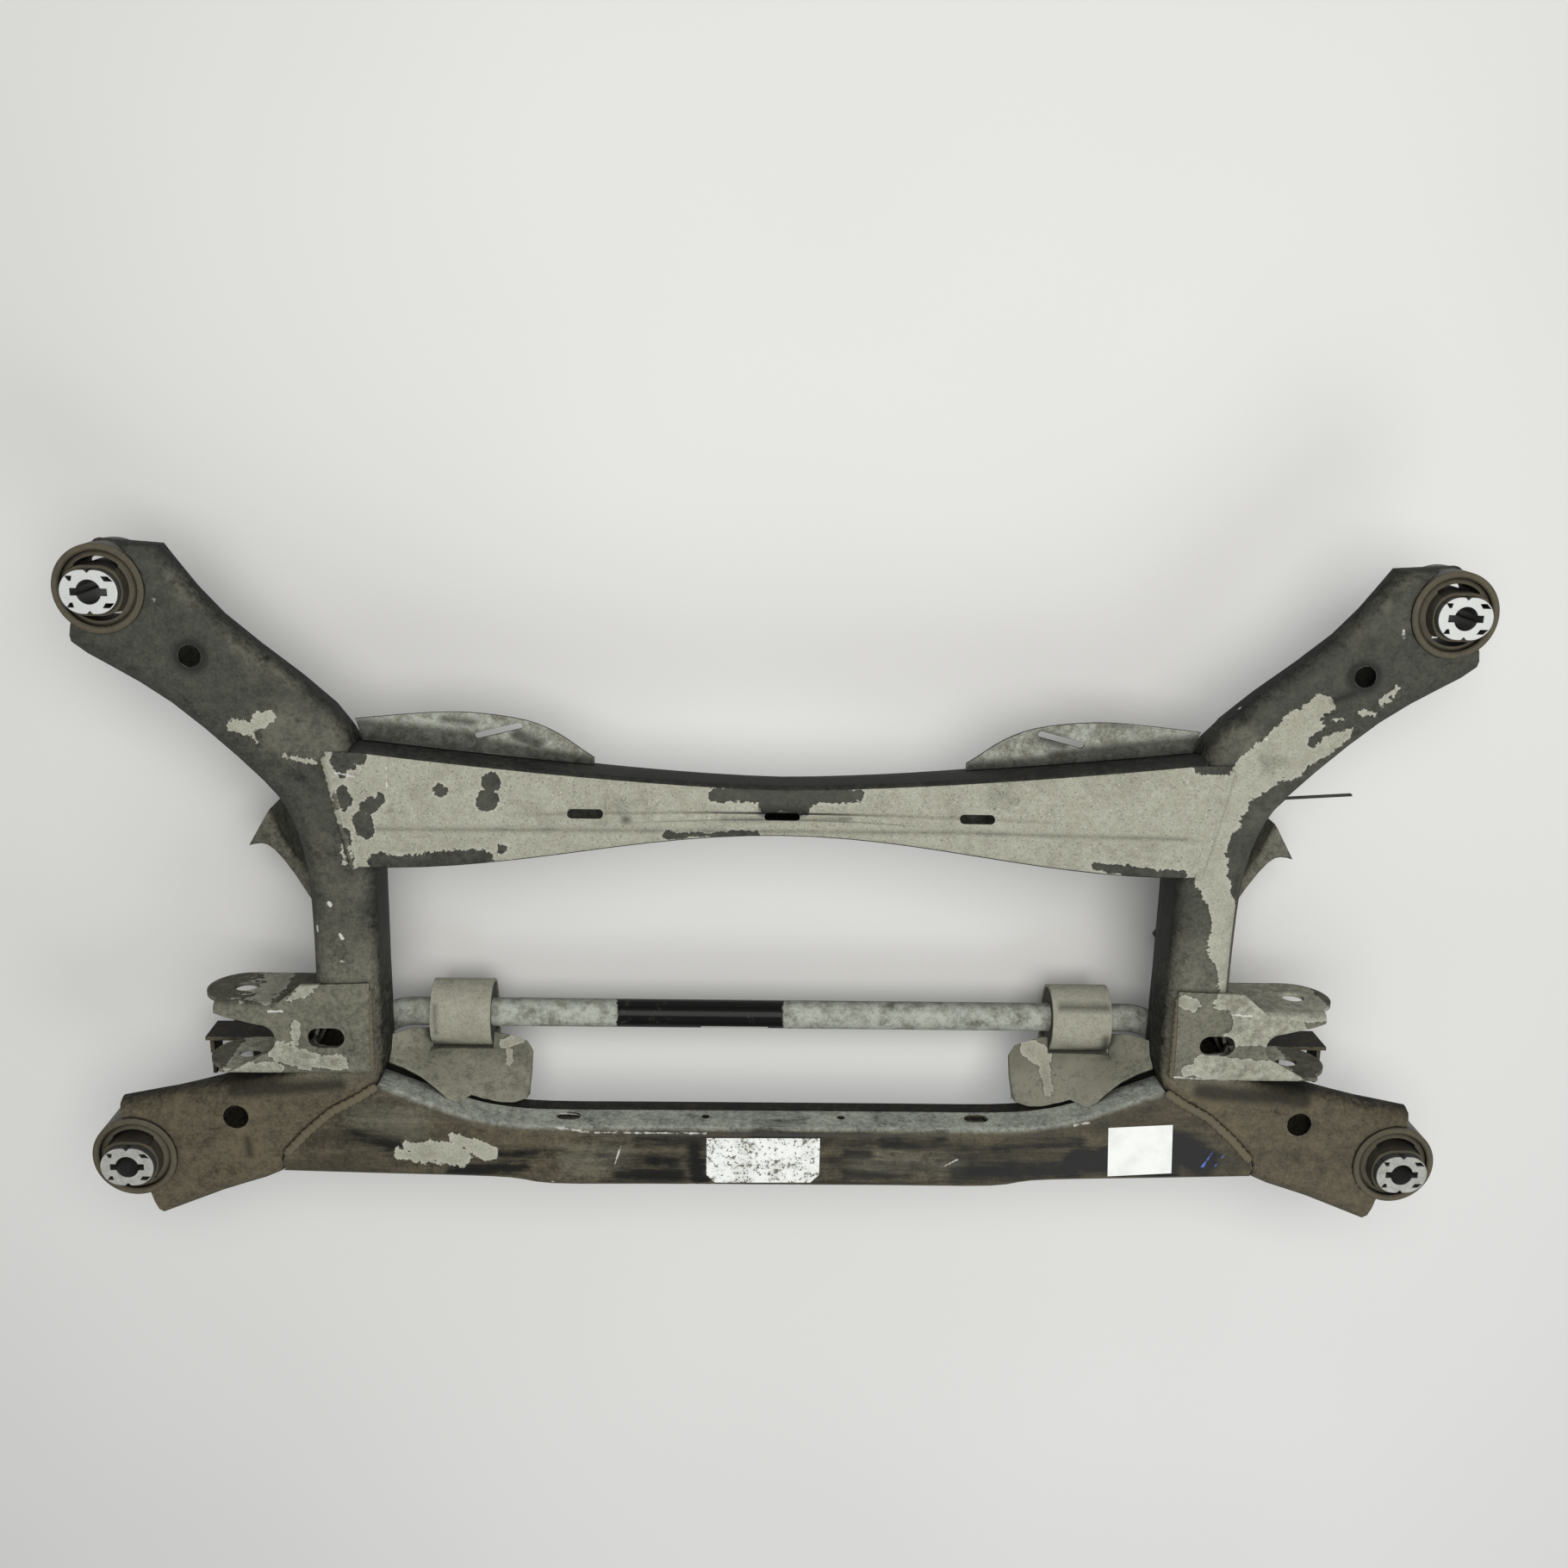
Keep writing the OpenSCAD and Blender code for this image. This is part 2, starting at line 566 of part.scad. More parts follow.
module rear_arm_bracket(side) {
    ear_y = rear_arm_y + lower_gap / 2;
    tip = rear_bolt_x + 40;
    color("dimgray") on_side(side) difference() {
        union() {
            lower_arm_bracket(leg_outer + 9, rear_bolt_x, rear_arm_y, rear_bolt_x + 6);
            translate([leg_outer + 25, ear_y, -side_depth - 20])
                cube([tip - leg_outer - 25, bracket_wall, 34]);
            translate([tip - bracket_wall, ear_y - 36, -side_depth - 20]) cube([bracket_wall, 37, 23]);
        }
        side_space(seat / 2);
        bolt_through(rear_bolt_x, rear_arm_y, lower_bolt_z, lower_bolt_d, lower_gap);
    }
}

// Stabiliser bracket: domed gusset between the side member and the rear crossmember,
// with a wall behind the clamp.
// Each column is [x, then y and z of the edge by the bar, of the toe and of the edge by the crossmember].
toe_y = wall_y - 1;
gusset = [[203, -172, -86, -182, -80, -200, -60], [204, -168, -84, -180, -77, -203, -51],
    [207, -163, -84, -176, -77, -207, -44], [214, -160, -84, -172, -78, -207, -36],
    [224, -156.5, -84, toe_y, -78, -207, -32], [clamp_x - clamp_half, -154.5, -84, toe_y, -78, -206, -31],
    [clamp_x - 13, -153.5, -84, toe_y, -78, -203, -28], [clamp_x - 4, -152.5, -84, toe_y, -78, -192, -16],
    [clamp_x + 7, -152, -84, toe_y, -78, -183, -22], [clamp_x + 17, -151, -84, toe_y, -77, -176, -26],
    [clamp_x + clamp_half, -150, -81, toe_y + 2, -75, -169.5, -28],
    [clamp_x + 39, -144, -66, -155, -58, -162, -28], [leg_inner - 0.4, -140.5, -46, -149, -41, -157.5, -28]];
gusset_toe = 2;
gusset_rise = 6;
gusset_grid = [for (g = gusset) concat(
    [for (k = [0 : gusset_toe - 1]) [g[0], mix(g[1], g[3], k / gusset_toe), mix(g[2], g[4], k / gusset_toe)]],
    [for (k = [0 : gusset_rise]) let (v = k / gusset_rise)
        [g[0], mix(g[3], g[5], v), mix(g[4], g[6], (1 - cos(180 * v)) / 2)]])];

module stabiliser_bracket(side) {
    half = clamp_half;
    color("dimgray") on_side(side) difference() {
        union() {
            sheet_loft(gusset_grid, pad_wall);
            translate([clamp_x - half, wall_y - pad_wall, pad_z]) cube([2 * half, pad_wall, -78.6 - pad_z]);
            translate([clamp_x - half, wall_y - pad_reach, pad_z]) cube([2 * half, pad_reach, pad_wall]);
        }
        translate([clamp_x - half, wall_y, pad_z - 1]) cube([2 * half, 80, 120]);
        translate([clamp_x, clamp_bolt_y, pad_z - 10]) cylinder(d = 11, h = 20);
        rear_beam_space();
        side_space(seat);
    }
}

// Clamp strap in the YZ plane: round the bar from the bracket's wall, then back under the bracket's pad
module strap2d() {
    inner = clamp_r + seat;
    tail = bar_y - wall_y + pad_reach;
    difference() {
        circle(strap_r);
        circle(inner);
        polygon([[0, 0], 3 * strap_r * turn(strap_end), 3 * strap_r * turn(210), 3 * strap_r * turn(270)]);
    }
    translate([-tail, -strap_r]) square([tail, strap_wall]);
}

module along_bar(length) {
    translate([clamp_x - length / 2, bar_y, bar_z]) rotate([90, 0, 90]) linear_extrude(length) children();
}

module clamp_strap(side) {
    color("darkkhaki") on_side(side) difference() {
        along_bar(strap_w) strap2d();
        translate([clamp_x, clamp_bolt_y, pad_z - 10]) cylinder(d = 11, h = 20);
    }
}

module clamp_bush(side) {
    color("black") on_side(side) along_bar(strap_w - 3) difference() {
        circle(clamp_r);
        circle(bar_d / 2 + run);
    }
}

module clamp_bolts() {
    color("silver") for (side = [-1, 1]) on_side(side)
        translate([clamp_x, clamp_bolt_y, bar_z - strap_r - seat]) {
            translate([0, 0, -2]) cylinder(d = 21, h = 2);
            translate([0, 0, -8]) cylinder(d = 16, h = 7, $fn = 6);
            translate([0, 0, -1]) cylinder(d = 10, h = 20);
        }
}

module clamp_nuts() {
    color("silver") for (side = [-1, 1]) on_side(side)
        translate([clamp_x, clamp_bolt_y, pad_z + pad_wall + seat]) difference() {
            cylinder(d = 18, h = 8, $fn = 6);
            translate([0, 0, -1]) cylinder(d = 10 + 2 * seat, h = 10);
        }
}

// Stabiliser bar: straight between its bends, with an arm and a flattened eye at each end
module stabiliser_bar() {
    eye_r = 17;
    eye_t = 10;
    color("gray") translate([0, bar_y, bar_z]) rotate([arm_slope, 0, 0]) {
        translate([bend_r - arm_x, 0, 0]) rotate([0, 90, 0]) cylinder(d = bar_d, h = 2 * (arm_x - bend_r));
        for (side = [-1, 1]) on_side(side) difference() {
            union() {
                translate([arm_x - bend_r, -bend_r, 0]) rotate_extrude(angle = 90)
                    translate([bend_r, 0]) circle(d = bar_d);
                translate([arm_x, -bend_r, 0]) rotate([90, 0, 0])
                    cylinder(d = bar_d, h = arm_len - bend_r - 26);
                translate([arm_x - eye_t / 2, -arm_len, 0]) rotate([0, 90, 0]) cylinder(r = eye_r, h = eye_t);
                translate([arm_x - eye_t / 2, -arm_len, -11]) cube([eye_t, 40, 22]);
            }
            translate([arm_x - eye_t, -arm_len, 0]) rotate([0, 90, 0]) cylinder(d = link_d, h = 2 * eye_t);
        }
    }
}

// Cut-off harness tie, left in the right side member's outer wall
module harness_tie() {
    n = turn(-43);
    root = shoulder_a + 6 * turn(228) + 3.6 * n;
    color("black") translate([root[0], root[1], -30]) {
        rotate(-43) cube([6, 7, 8], center = true);
        rotate(4) translate([0, -0.7, -2.2]) cube([58, 1.4, 4.4]);
    }
}

place() side_upper(-1);  // side_upper_left
place() side_upper(1);  // side_upper_right
place() side_lower(-1);  // side_lower_left
place() side_lower(1);  // side_lower_right
place() front_beam_upper();
place() front_beam_lower();
place() rear_beam_upper();
place() rear_beam_lower();
place() bush_eye(0);  // front_left_eye
place() bush_eye(1);  // front_right_eye
place() bush_eye(2);  // rear_left_eye
place() bush_eye(3);  // rear_right_eye
place() bush_sleeve(0);  // front_left_sleeve
place() bush_sleeve(1);  // front_right_sleeve
place() bush_sleeve(2);  // rear_left_sleeve
place() bush_sleeve(3);  // rear_right_sleeve
place() bush_rubber(0);  // front_left_rubber
place() bush_rubber(1);  // front_right_rubber
place() bush_rubber(2);  // rear_left_rubber
place() bush_rubber(3);  // rear_right_rubber
place() bush_core(0);  // front_left_core
place() bush_core(1);  // front_right_core
place() bush_core(2);  // rear_left_core
place() bush_core(3);  // rear_right_core
place() upper_arm_bracket(-1);  // upper_arm_bracket_left
place() upper_arm_bracket(1);  // upper_arm_bracket_right
place() front_horn(-1);  // front_horn_left
place() front_horn(1);  // front_horn_right
place() rear_arm_bracket(-1);  // rear_arm_bracket_left
place() rear_arm_bracket(1);  // rear_arm_bracket_right
place() stabiliser_bracket(-1);  // stabiliser_bracket_left
place() stabiliser_bracket(1);  // stabiliser_bracket_right
place() clamp_strap(-1);  // clamp_strap_left
place() clamp_strap(1);  // clamp_strap_right
place() clamp_bush(-1);  // clamp_bush_left
place() clamp_bush(1);  // clamp_bush_right
place() clamp_bolts();
place() clamp_nuts();
place() stabiliser_bar();
place() harness_tie();
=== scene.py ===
"""Looks of a used rear axle subframe: smooth pressings, dried mud, welds, labels and a stage."""

import math

import bpy
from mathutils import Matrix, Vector


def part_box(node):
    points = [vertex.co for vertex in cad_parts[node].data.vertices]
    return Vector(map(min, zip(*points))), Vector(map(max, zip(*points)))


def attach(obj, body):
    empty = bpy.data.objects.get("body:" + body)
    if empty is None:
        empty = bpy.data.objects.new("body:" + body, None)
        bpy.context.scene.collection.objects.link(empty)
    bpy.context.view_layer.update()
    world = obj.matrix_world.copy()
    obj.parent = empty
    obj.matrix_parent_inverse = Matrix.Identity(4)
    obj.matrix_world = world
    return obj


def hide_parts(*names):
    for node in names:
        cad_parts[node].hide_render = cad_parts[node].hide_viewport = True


bl_info = {
    "name": "Rear axle subframe",
    "version": (1, 0, 0),
    "blender": (4, 5, 0),
    "location": "3D View > Sidebar > Subframe",
    "description": "Finishes, welds, bare labels and stage for a pressed-steel rear axle subframe",
    "category": "Object",
}

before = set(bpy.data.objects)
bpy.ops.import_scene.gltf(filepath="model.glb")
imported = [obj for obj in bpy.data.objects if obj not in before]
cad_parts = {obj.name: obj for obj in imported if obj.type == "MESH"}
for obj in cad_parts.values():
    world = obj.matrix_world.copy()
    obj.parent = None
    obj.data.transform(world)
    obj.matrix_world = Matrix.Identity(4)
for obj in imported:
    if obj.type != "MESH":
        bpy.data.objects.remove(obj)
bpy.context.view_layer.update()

SIDES = (("left", -1), ("right", 1))
MM = 0.001
TOP_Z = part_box("side_upper_right")[1].z
WHITE = (1.0, 1.0, 1.0, 1.0)

# Pressings: triangles within this distance are joined, and bends below this angle are smooth
MERGE_DISTANCE = 0.00002
SMOOTH_ANGLE = math.radians(42.0)

# Reflection of the coatings, the bare materials and the bar, and reach of painted shade into
# corners
COAT_SPECULAR = 0.12
BARE_SPECULAR = 0.3
BAR_SPECULAR = 0.08
COAT_SHADE_REACH = 0.02
BARE_SHADE_REACH = 0.012

# Half widths of soft rims in metres: mud and scratches, wipes, grime and painted shade, smears and
# painted sheen
MUD_RIM = 0.0004
WIPE_AND_SHADE_RIM = 0.004
SMEAR_RIM = 0.008
# Where the mud's rim lies on a piece that mud covers or spares all over, in metres
FAR_RIM = 0.05
# Half width of the fade between faces that hold mud and steeper ones, by how far they face up
WALL_FADE = 0.06
# Where the film turns to the legs' dust and that to the rear arms' dust, in millimetres
LEG_FADE = (5, -95)
REAR_FADE = (-120, -180)

# Depth of a bush core's bright cut face, and of the fade to the painted shade of its inside
CUT_FACE = 0.0002
INNER_FADE = 0.0012

# Stabiliser bar: its radius, the clean stretch and the paint stripe across in millimetres,
# and how far the stripe lies behind the axis
BAR_RADIUS = 0.012
CLEAN_X = (-132, 9)
STRIPE_X = (-61, -4)
STRIPE_BACK = 0.0078

# Strokes of each coating, drawn from above in millimetres: start across and along, end, and radius
SIDE_STROKES = {
    "mud": (
        (-410, 126, -399, 124, 5.5), (-399, 123, -384, 134, 4.2), (-396, 120, -392, 112, 3.0),
        (-373, 104, -351, 98, 2.2), (-342, 95, -336, 82, 3.5), (-336, 80, -333, 62, 3.0),
        (-334, 46, -333, 20, 2.5), (407, 155, 392, 140, 11), (393, 137, 372, 113, 17),
        (422, 135, 387, 110, 12.5), (372, 110, 348, 91, 17), (348, 91, 334, 55, 15.5),
        (334, 55, 334, 21, 13), (334, 21, 350, -13, 11), (350, -13, 351, -46, 11),
        (350, -46, 359, -79, 7.5), (438, 150, 448, 151, 2.8), (452, 159, 463, 171, 2.8)),
    "cuts": ((403, 127, 416, 139, 2.6), (416, 139, 430, 142, 1.7)),
    # Brown smears, and a painted highlight: the thin strokes along the arms' upper bends near the
    # front eyes
    "smear_and_sheen": (
        (-377, 120, -353, 116, 15), (-348, 116, -324, 109, 12.5), (324, 121, 353, 127, 13),
        (-448, 234, -434, 217, 1.5), (-408, 189, -366, 157, 2), (467, 256, 447, 233, 1)),
    # Grime and painted shade: the rings at the front holes shade their dishes, the strokes along
    # the rear arms below the brackets are painted shadow
    "grime_and_shade": (
        (-439, 178, -438, 178, 13), (439, 178, 438, 178, 13), (-345, -164, -430, -172, 5),
        (345, -164, 430, -172, 6), (-420, -212, -419, -226, 1), (417, 160, 432, 166, 3)),
    "scratch": (
        (-346, -12, -345, -14, 1.1), (-339, -38, -337, -41, 1.3), (-339, -60, -337, -60, 0.8),
        (-357, -33, -357, -37, 0.8), (-463, 220, -461, 219, 1), (463, 214, 464, 209, 0.8)),
}
FRONT_STROKES = {
    "cuts": (
        (-331, 98, -331, 91, 3), (-331, 77, -330, 69, 4.5), (-331, 45, -331, 37, 3.5),
        (-331, 27, -331, 23, 5), (-314, 65, -304, 71, 5), (-317, 57, -315, 49, 7),
        (-220, 86, -220, 85, 7), (-223, 72, -223, 71, 9), (-258, 79, -258, 80, 4.7),
        (-212, 34, -212, 35, 3.7), (-306, 21, -272, 20, 7), (-272, 20, -229, 25, 8.5),
        (-331, 101, -319, 105, 7.5), (-50, 79, 57, 80, 5.5), (-14, 71, 16, 72, 5),
        (-88, 46, -19, 48, 2.5), (244, 26, 268, 23, 3.4), (268, 21, 313, 20, 4),
        (320, 109, 340, 109, 7.4)),
    # Grime and painted shade: the thin lines along the beam are painted shade under its bead
    "grime_and_shade": (
        (-45, 60, 50, 62, 1), (-14, 66, 16, 66, 4), (-119, 59, -118, 59, 3),
        (-306, 49, -114, 50, 0.3), (-114, 50, 140, 52, 0.3), (140, 52, 312, 50, 0.3)),
    "scratch": ((-336, 92, -322, 89, 0.7), (-298, 97, -298, 82, 0.3), (-225, 22, -205, 24, 0.6)),
}
SHELF_STROKES = {
    "grime_and_shade": (
        (-325, 114, -235, 105, 9), (-235, 104, -150, 91, 6), (215, 99, 335, 114, 8),
        (150, 92, 215, 98, 5), (-262, 124, -240, 122, 2), (205, 118, 222, 113, 5),
        (-205, 112, -190, 105, 5), (255, 128, 275, 127, 1)),
}
REAR_STROKES = {
    "mud": (
        (-279, -222, -253, -225, 10), (-253, -212, -229, -223, 7), (-294, -219, -286, -216, 3.3),
        (-300, -224, -270, -232, 4)),
    "bare": (
        (-335, -207, -302, -216, 5.5), (-259, -240, -200, -234, 5), (-220, -224, -193, -224, 3.3),
        (-64, -217, -60, -245, 6.5), (-110, -212, -87, -210, 3.4), (-125, -242, -78, -242, 6),
        (-100, -228, -80, -228, 4), (59, -220, 76, -220, 3.4), (90, -213, 136, -211, 3.7),
        (60, -240, 110, -242, 4), (250, -226, 322, -229, 13), (319, -208, 352, -226, 14),
        (150, -238, 245, -236, 7.5), (180, -216, 250, -212, 4), (-16, -206, 24, -206, 3)),
    "smear_and_sheen": (
        (-330, -190, -290, -200, 14), (-160, -232, -130, -226, 14), (70, -232, 150, -230, 9)),
    # Scratches, and painted highlights: the long thin lines along the front rim and along the lower
    # rear rim
    "scratch": (
        (-226, -197, -146, -205, 0.5), (-146, -205, -55, -205, 0.4), (140, -232, 150, -226, 0.4),
        (-128, -232, -123, -216, 0.4), (244, -196, 256, -193, 0.6), (-70, -252, 120, -253, 0.5)),
    "blue": ((352, -231, 359, -218, 0.8), (362, -231, 370, -219, 0.6)),
}
BRACKET_STROKES = {
    "mud": (
        (363, -86, 432, -86, 16), (371, -109, 409, -109, 14.5), (345, -140, 413, -149, 11),
        (330, -144, 343, -144, 5), (320, -85, 332, -88, 5), (-437, -81, -399, -87, 11),
        (-387, -75, -361, -72, 10), (-378, -89, -364, -83, 3.3), (-376, -112, -376, -127, 3.6),
        (-388, -136, -370, -142, 9.5), (-370, -142, -343, -144, 6.5), (-429, -151, -392, -149, 6)),
    "cuts": ((329, -110, 350, -103, 12), (330, -128, 335, -119, 7.5)),
    "scratch": (
        (-396, -101, -386, -101, 0.9), (362, -96, 378, -97, 0.7), (320, -150, 350, -153, 0.5)),
}
GUSSET_STROKES = {
    "mud": (
        (219, -164, 231, -170, 7), (231, -170, 232, -188, 4.5), (-227, -164, -213, -161, 5),
        (-222, -170, -221, -176, 4)),
}
STRAP_STROKES = {
    "grime_and_shade": ((243, -124, 282, -124, 2), (282, -150, 283, -160, 3), (-282, -128, -281, -150, 1)),
}
WELD_STROKES = {
    "cuts": (
        (-333, 97, -333, 91, 3), (-333, 77, -333, 69, 5), (-333, 46, -333, 37, 4),
        (-333, 27, -333, 20, 5)),
}

# Weld runs on the right side, as points in millimetres
ARM_SEAM = (
    (317, -166, 0.0), (332, -176, 0.8), (352, -187, 1.1), (373, -206, 1.1), (390, -225, 0.7))
BRACKET_SEAM = ((320, -84, 0.4), (320, -152, 0.4))
BEAM_SEAM = ((343.5, 103, 0.9), (334.5, 60, 1.1), (325, 17, 0.9))
# A bead's length along the run, its width and its height, as shares of the weld's width,
# and how its size varies from bead to bead
BEAD_SHAPE = (0.75, 1.0, 0.55)
BEAD_STEP = 2.4
BEAD_CHANGE = 0.12

# Height of a label above the rear crossmember's face, in millimetres
LABEL_LIFT = 0.05

# Stage: floor just below the part, sky, lamps (place, size, watts, colour) and the camera,
# whose place is in millimetres and whose turn is in degrees
FLOOR_SIZE = 12.0
FLOOR_Z = -0.0005
SKY_COLOUR = (0.93, 0.96, 1.0, 1.0)
SKY_STRENGTH = 0.36
LAMPS = (
    ("ceiling_panel", (0.15, 0.6, 2.1), 1.5, 43.0, (1.0, 0.98, 0.95)),
    ("rear_panel", (0.9, -1.3, 1.7), 1.2, 13.0, (0.95, 0.98, 1.0)),
)
SENSOR_WIDTH = 36.0
CAMERA_PLACE = (-45.505, 403.849, 1178.463)
CAMERA_TURN = (-15.0507, -1.8767, 1.4144)


def middle_y(node):
    """Fore-and-aft middle of a node, in metres."""
    low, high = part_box(node)
    return (low.y + high.y) / 2


# Midway between the two rows of body-mount bushes
ROW_Y = (middle_y("front_right_eye") + middle_y("rear_right_eye")) / 2


def spot(x, y, z=0.0):
    """Place in metres from millimetres across, along and up.

    They count from the middle between the bush rows and from the side members' top.
    """
    return Vector((x * MM, ROW_Y + y * MM, TOP_Z + z * MM))


def tone(red, green, blue):
    """Linear colour of a screen colour of 0 to 255."""
    def linear(c):
        c /= 255
        return c / 12.92 if c <= 0.04045 else ((c + 0.055) / 1.055) ** 2.4
    return (linear(red), linear(green), linear(blue), 1.0)


def colour_property(name, description, default):
    """Colour that a user can change, with its opacity."""
    return bpy.props.FloatVectorProperty(
        name=name, description=description, subtype="COLOR", size=4, min=0.0, max=1.0,
        default=default)


def length_property(name, description, default, low, high):
    """Length that a user can change, in metres."""
    return bpy.props.FloatProperty(
        name=name, description=description, default=default, min=low, max=high, unit="LENGTH")


class SubframeColours(bpy.types.PropertyGroup):
    """Colours of the part's finishes and of the stage"""

    # The black coat is also the colour that painted shade mixes towards
    coat: colour_property("Black coat", "Dipped black coating of the pressings", tone(20, 21, 20))
    film: colour_property("Grey film", "Thin grey film of dust on the front arms", tone(71, 72, 64))
    leg_dust: colour_property(
        "Pale dust", "Dust on the legs, the gussets and the rear crossmember", tone(107, 106, 93))
    dust: colour_property("Brown dust", "Brown road dust on the rear arms", tone(92, 85, 68))
    mud: colour_property("Dried mud", "Dried tan-grey mud", tone(156, 156, 142))
    mud_dark: colour_property("Damp mud", "Darker parts of the dried mud", tone(140, 139, 124))
    silt: colour_property("Silt", "Cool grey silt on the shelves and the bar", tone(166, 170, 160))
    chip: colour_property("Paint chips", "Pale chips and scratches", tone(205, 204, 198))
    blue: colour_property("Blue mark", "Inspection mark of blue paint", tone(84, 104, 178))
    rubber: colour_property("Rubber", "Rubber of the bushes and clamps", tone(34, 32, 29))
    aluminium: colour_property("Aluminium", "Bare extruded bush cores", tone(200, 202, 199))
    zinc: colour_property("Zinc", "Dull plating of the clamp bolts and nuts", tone(160, 158, 150))
    paper: colour_property("Label", "Blank labels", tone(216, 218, 214))
    weld: colour_property("Weld", "Weld beads under the coating", tone(66, 62, 53))
    nylon: colour_property("Nylon", "Cut-off harness tie", tone(20, 20, 21))
    floor: colour_property("Floor", "Plain pale floor", tone(210, 210, 207))


class SubframeSizes(bpy.types.PropertyGroup):
    """Sizes of what the scene adds to the part, and of the stage"""

    weld_width: length_property("Weld width", "Width of a weld bead", 0.0075, 0.003, 0.009)
    weld_pitch: length_property(
        "Weld pitch", "Distance between the ripples of a weld", 0.0026, 0.0015, 0.005)
    label_thickness: length_property(
        "Label thickness", "Thickness of a label with its glue", 0.0004, 0.0002, 0.001)
    mud_thickness: length_property(
        "Mud thickness", "Height of the dried mud's relief", 0.0012, 0.0, 0.003)
    edge_radius: length_property(
        "Edge radius", "Rounding of sheet edges in the shading", 0.0011, 0.0, 0.003)
    lens: bpy.props.FloatProperty(
        name="Lens", description="Focal length of the camera on a 36 mm sensor", default=36.91,
        min=20.0, max=80.0, unit="CAMERA")


class Field:
    """One value of a finish, which Python's operators join with Math nodes."""

    def __init__(self, finish, socket):
        self.finish = finish
        self.socket = socket

    def join(self, operation, other, turned=False):
        """Math node on this value and another, in turned order where asked."""
        first, second = (other, self) if turned else (self, other)
        return self.finish.node("ShaderNodeMath", {"operation": operation}, {0: first, 1: second})

    def __add__(self, other):
        return self.join("ADD", other)

    def __radd__(self, other):
        return self.join("ADD", other, True)

    def __sub__(self, other):
        return self.join("SUBTRACT", other)

    def __rsub__(self, other):
        return self.join("SUBTRACT", other, True)

    def __mul__(self, other):
        return self.join("MULTIPLY", other)

    def __rmul__(self, other):
        return self.join("MULTIPLY", other, True)

    def most(self, other):
        """The larger of two values."""
        return self.join("MAXIMUM", other)

    def least(self, other):
        """The smaller of two values."""
        return self.join("MINIMUM", other)

    def step(self, low, high):
        """0 below low, 1 above high and smooth between them, with no clamp of its own."""
        return self.finish.node(
            "ShaderNodeMapRange", {"interpolation_type": "SMOOTHSTEP", "clamp": False},
            {"Value": self, "From Min": low, "From Max": high})


